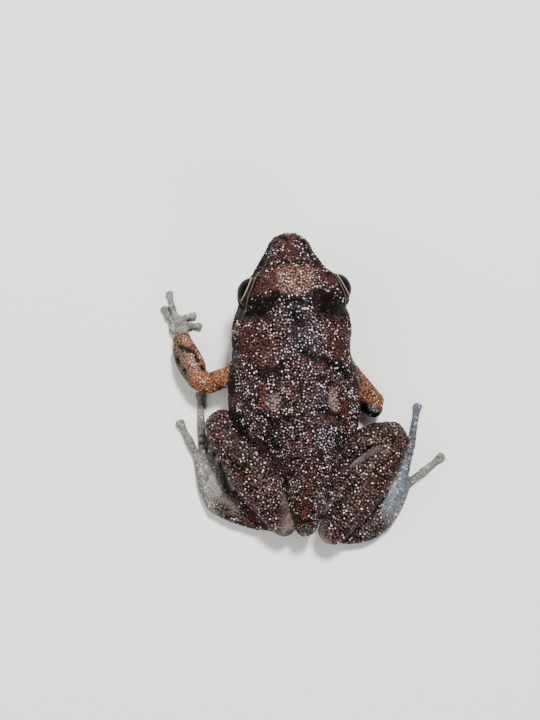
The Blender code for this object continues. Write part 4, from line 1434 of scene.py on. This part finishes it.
def granule_tone_and_gap_shade(n, masks):
    """How light the skin is: full on the granules, each in its own tone, with painted shade darkening
    the gaps between them.
    """
    body = n.mask(masks["away"], GAP_SHADE_END, GAP_SHADE_START)
    smooth = n.larger(n.times(masks["bare"], 0.9), n.times(masks["foot"], 0.6))
    gap = n.times(smooth, SMOOTH_LIGHT_KEPT_IN_GAP_SHADE, LIGHT_KEPT_IN_GAP_SHADE)
    between = n.times(n.minus(1.0, gap), body, gap)
    shade = n.times(between, n.times(masks["own"], 0.5, 0.8))
    return n.add("ShaderNodeCombineColor", {0: shade, 1: shade, 2: shade}).outputs[0]


def pale_flecks_and_glints(n, place, masks):
    """The flecks' own tones, pale pigment with the brighter ones also painted glints, and a ragged cap
    that shows them on the granules that carry one.
    """
    broken = n.minus(n.noise(place, FLECK_RAGGED_SIZE, 2.0), 0.5)
    away = n.times(broken, FLECK_RAGGED, masks["away"])
    cap = n.mask(n.minus(masks["fleck"], away), -FLECK_EDGE, FLECK_EDGE)
    cap = n.times(cap, n.mask(masks["fleck"], 0.0, 0.02))
    # How bright each fleck is: the brighter ones are painted glints, and the silver rows are brightest.
    glow = n.times(n.calc("POWER", masks["own"], FLECK_DIMMING), n.times(masks["leg"], -0.1, 1.0))
    glow = n.larger(glow, n.times(masks["silver"], 0.8))
    tone = n.mix(glow, FLECK_DIM, FLECK_WHITE_GLINT)
    tone = n.mix(n.times(masks["lilac"], 0.65), tone, FLECK_LILAC)
    tone = n.mix(n.times(masks["gold"], 0.6), tone, FLECK_GOLD)
    return tone, cap


def skin_material():
    """Moist granular skin: mottled browns, broken markings, painted shade in the gaps between the
    granules, and a pale fleck on many granules, part pigment and part painted glint.
    """
    finish = bpy.data.materials.new("frog_skin")
    finish.use_nodes = True
    n = Nodes(finish.node_tree)
    shader = finish.node_tree.nodes["Principled BSDF"]
    place = n.scaled(n.add("ShaderNodeTexCoord").outputs["Object"], 1 / MM)
    masks = {}
    for name in (*MASKS, *FLECK_VALUES):
        masks[name] = n.add("ShaderNodeAttribute", attribute_name=name).outputs["Fac"]

    colour = skin_ground(n, place, masks)
    edge_tree = mottle_group()
    for name, tone, size, broken, strength in MARKINGS:
        inputs = {"Place": place, "Mask": masks[name], "Size": size, "Break": broken}
        edge = n.add("ShaderNodeGroup", inputs, node_tree=edge_tree, label=name + "_mark")
        colour = n.mix(n.times(edge.outputs["Mask"], strength), colour, tone)
    belly = n.mix(n.mask(n.noise(place, 0.7), 0.42, 0.6), BELLY_PALE, BELLY_BROWN)
    colour = n.mix(masks["belly"], colour, belly)
    # Painted shade in the gaps between granules, times each granule's own tone.
    colour = n.mix(1.0, colour, granule_tone_and_gap_shade(n, masks), "MULTIPLY")
    inputs = {"Place": place, "Size": DUST_SIZE, "Share": DUST_SHARE, "Radius": DUST_RADIUS}
    dust = n.add("ShaderNodeGroup", inputs, node_tree=specks_group(), label="dust").outputs["Mask"]
    dust_share = n.times(dust, n.times(masks["belly"], -0.4, 0.5))
    colour = n.mix(dust_share, colour, n.mix(0.5, colour, FLECK_GREY))
    fleck, cap = pale_flecks_and_glints(n, place, masks)
    # Painted glints with pale pigment: the flecks, brighter in broad patches.
    bright = n.times(n.mask(n.noise(place, 0.33, 1.0), 0.3, 0.62), 0.6, 0.4)
    colour = n.mix(n.times(cap, bright), colour, fleck)
    colour = n.mix(masks["lid_edge"], colour, LID_EDGE)
    n.feed(shader.inputs["Base Color"], colour)

    rough = n.times(n.noise(place, 0.7), 0.25, 0.4)
    n.feed(shader.inputs["Roughness"], n.minus(rough, n.times(cap, 0.15)))
    wet = n.times(n.mask(n.noise(place, 0.9), 0.45, 0.7), 0.03)
    n.feed(shader.inputs["Coat Weight"], n.times(masks["foot"], 0.12, wet))
    shader.inputs["Coat Roughness"].default_value = 0.2
    shader.inputs["Specular IOR Level"].default_value = 0.05
    shader.inputs["Subsurface Weight"].default_value = 0.03
    shader.inputs["Subsurface Radius"].default_value = (1.0, 0.45, 0.3)
    shader.inputs["Subsurface Scale"].default_value = 0.0004
    height = n.times(n.noise(place, 0.09, 2.0), 0.6, n.times(dust, 0.6))
    bump = n.add("ShaderNodeBump", {"Height": height, "Strength": 0.6, "Distance": 0.02 * MM})
    n.feed(shader.inputs["Normal"], bump.outputs[0])
    return finish


# Geometry of the grain

def grain_group():
    """Raises granules, scattered warts, soft lumps and small creases on the skin. They fade out
    at the floor, so that the frog stays on it."""
    tree, start, end = group("skin_grain", "GeometryNodeTree", {"Geometry": ("Geometry", None)},
                             {"Geometry": "Geometry"})
    n = Nodes(tree)

    def read(name):
        return n.add("GeometryNodeInputNamedAttribute", {"Name": name}, data_type="FLOAT").outputs[0]

    place = n.scaled(n.add("GeometryNodeInputPosition").outputs[0], 1 / MM)
    smooth = n.larger(n.larger(read("foot"), read("lid_edge")), n.times(read("bare"), 0.6))
    rough = n.minus(1.0, n.times(smooth, 0.85))
    warts = n.add("ShaderNodeTexVoronoi", {"Vector": place, "Scale": 1 / WART})
    own = n.add("FunctionNodeSeparateColor", {0: warts.outputs["Color"]}).outputs[0]
    wart = n.times(n.mask(warts.outputs["Distance"], 0.32, 0.05), n.mask(own, 0.5, 0.75))
    lumps = n.minus(n.noise(place, LUMP_SIZE, 2.0), 0.5)
    folds = n.minus(n.noise(place, FOLD_SIZE, 2.0), 0.5)
    height = n.times(wart, WART_HEIGHT, n.times(lumps, LUMP_HEIGHT))
    height = n.times(folds, FOLD_HEIGHT, height)
    height = n.times(height, rough)
    height = n.times(read("dome"), GRANULE_HEIGHT, height)
    above_floor = n.add("ShaderNodeSeparateXYZ", {0: place}).outputs[2]
    height = n.times(height, n.mask(above_floor, GRAIN_START, GRAIN_FULL))
    normal = n.add("GeometryNodeInputNormal").outputs[0]
    offset = n.scaled(normal, n.times(height, MM))
    moved = n.add("GeometryNodeSetPosition", {"Geometry": start.outputs[0], "Offset": offset})
    n.feed(end.inputs[0], moved.outputs[0])
    return tree


def settle_grain(skin):
    """Run the grain on the skin and keep the mesh that it makes."""
    modifier = skin.modifiers.new("grain", "NODES")
    modifier.node_group = grain_group()
    bpy.context.view_layer.update()
    seen = skin.evaluated_get(bpy.context.evaluated_depsgraph_get())
    mesh = bpy.data.meshes.new_from_object(seen)
    skin.modifiers.clear()
    skin.data = mesh
    skin.data.shade_smooth()


# Eyes

def eye_material():
    """A black eye: a level pupil with a thin pale line over it, some gold in the lower iris and
    a dark rim, under a clear wet cornea."""
    finish = bpy.data.materials.new("frog_eye")
    finish.use_nodes = True
    n = Nodes(finish.node_tree)
    shader = finish.node_tree.nodes["Principled BSDF"]
    gaze = n.add("ShaderNodeAttribute", attribute_name="gaze").outputs["Vector"]
    along, up, out = n.add("ShaderNodeSeparateXYZ", {0: gaze}).outputs
    spread = n.calc("SQRT", n.times(along, along, n.times(up, up)))
    angle = n.calc("ARCTAN2", up, along)
    around = n.times(n.calc("COSINE", angle), 3.0), n.times(n.calc("SINE", angle), 3.0)
    inputs = {0: around[0], 1: around[1], 2: n.times(spread, 1.2)}
    veins = n.noise(n.add("ShaderNodeCombineXYZ", inputs).outputs[0], 0.35, 5.0, 0.7)
    flecks = n.noise(gaze, 0.06, 3.0, 0.6)
    wide = n.calc("POWER", n.calc("DIVIDE", along, PUPIL_LENGTH), 2.0)
    tall = n.calc("POWER", n.calc("DIVIDE", up, PUPIL_HEIGHT), 2.0)
    pupil = n.calc("SQRT", n.calc("ADD", wide, tall))
    gold = n.times(n.mask(veins, 0.42, 0.66), n.mask(n.calc("ABSOLUTE", up), 0.1, 0.5))
    gold = n.times(gold, n.times(n.mask(spread, 0.92, 0.8), n.mask(up, 0.35, -0.1)))
    colour = n.mix(gold, IRIS_BROWN, IRIS_GOLD)
    colour = n.mix(n.times(n.mask(flecks, 0.58, 0.68), gold), colour, IRIS_PALE)
    thin_ring = n.mask(n.calc("ABSOLUTE", n.minus(pupil, 1.05)), 0.05, 0.015)
    colour = n.mix(n.times(thin_ring, n.mask(up, -0.3, 0.4)), colour, IRIS_PALE)
    colour = n.mix(n.mask(pupil, 1.03, 0.98), colour, PUPIL_BLACK)
    rim = n.larger(n.mask(spread, 0.86, 0.95), n.mask(out, 0.1, 0.0))
    colour = n.mix(rim, colour, EYE_RIM)
    n.feed(shader.inputs["Base Color"], colour)
    shader.inputs["Roughness"].default_value = 0.35
    shader.inputs["Specular IOR Level"].default_value = 0.02
    shader.inputs["Coat Weight"].default_value = 0.08
    shader.inputs["Coat Roughness"].default_value = 0.02
    return finish


def eyeball(side, finish):
    """One eye: a ball with a slightly fuller cornea over the iris."""
    way = SIDES[side]
    gaze, along, up = eye_axes(way)
    centre = Vector(eye_centre(way))
    bpy.ops.mesh.primitive_uv_sphere_add(segments=96, ring_count=64, radius=1.0)
    eye = bpy.context.object
    eye.name = "eyeball_" + side
    mesh = eye.data
    gazes = []
    for vertex in mesh.vertices:
        local = vertex.co.copy()
        gazes.extend(local)
        off_gaze = math.acos(max(-1, min(1, local.z)))
        fuller = 1 + CORNEA_FULLNESS * math.exp(-(off_gaze / CORNEA_ANGLE) ** 4)
        turned = along * local.x + up * local.y + gaze * local.z
        vertex.co = Vector(placed(np.array(centre + turned * EYE_RADIUS * fuller)))
    if along.cross(up).dot(gaze) < 0:
        mesh.flip_normals()
    attribute = mesh.attributes.new("gaze", "FLOAT_VECTOR", "POINT")
    attribute.data.foreach_set("vector", gazes)
    mesh.shade_smooth()
    mesh.materials.append(finish)
    return eye


# Floor, lights and camera

def floor():
    """A plain pale floor under the frog."""
    bpy.ops.mesh.primitive_plane_add(size=FLOOR_SIZE, location=(0, 0, 0))
    plane = bpy.context.object
    plane.name = "floor"
    finish = bpy.data.materials.new("floor")
    finish.use_nodes = True
    shader = finish.node_tree.nodes["Principled BSDF"]
    shader.inputs["Base Color"].default_value = FLOOR_TONE
    shader.inputs["Roughness"].default_value = FLOOR_ROUGHNESS
    plane.data.materials.append(finish)


def soft_light(name, place, size, power):
    """A square soft box that faces the frog."""
    light = bpy.data.lights.new(name, "AREA")
    light.shape = "SQUARE"
    light.size = size
    light.energy = power
    obj = bpy.data.objects.new(name, light)
    obj.location = place
    obj.rotation_euler = (-Vector(place)).to_track_quat("-Z", "Y").to_euler()
    bpy.context.scene.collection.objects.link(obj)


def lights():
    """An even white glow all round, and the soft boxes."""
    world = bpy.data.worlds.new("studio")
    world.use_nodes = True
    background = world.node_tree.nodes["Background"]
    background.inputs["Color"].default_value = (1, 1, 1, 1)
    background.inputs["Strength"].default_value = STUDIO_GLOW
    bpy.context.scene.world = world
    for name, place, size, power in LIGHTS:
        soft_light(name, place, size, power)


def camera():
    """The photograph's view: from above, a little to the frog's left."""
    tilt, turn = math.radians(CAMERA_TILT), math.radians(CAMERA_TURN)
    back = Vector((-math.sin(tilt), 0, math.cos(tilt)))
    up = Vector((math.sin(turn), math.cos(turn), 0))
    up = (up - back * up.dot(back)).normalized()
    right = up.cross(back)
    lens = bpy.data.cameras.new("camera")
    lens.sensor_width = CAMERA_SENSOR
    lens.lens = CAMERA_LENS
    lens.clip_start = 0.001
    obj = bpy.data.objects.new("camera", lens)
    turned = Matrix((right, up, back)).transposed().to_4x4()
    obj.matrix_world = Matrix.Translation(Vector(placed(np.array(CAMERA_PLACE)))) @ turned
    bpy.context.scene.collection.objects.link(obj)
    bpy.context.scene.camera = obj


points, quads = shape_flesh()
points = evened(points, quads)
skin = skin_mesh(points, quads)
unwrap(skin)
normals = np.empty(len(points) * 3, np.float32)
skin.data.vertex_normals.foreach_get("vector", normals)
normals = normals.reshape(-1, 3)
masks = skin_masks(points, normals)
masks.update(granule_masks(points, normals, masks))
for name, mask in masks.items():
    attribute = skin.data.attributes.new(name, "FLOAT", "POINT")
    attribute.data.foreach_set("value", mask.astype(np.float32))
settle_grain(skin)
skin.data.materials.clear()
skin.data.materials.append(skin_material())
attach(skin, "root")
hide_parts(*[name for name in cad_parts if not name.startswith("eye_")])
eye_finish = eye_material()
for side in SIDES:
    eye = eyeball(side, eye_finish)
    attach(eye, "root")
    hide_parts("eye_" + side)
floor()
lights()
camera()
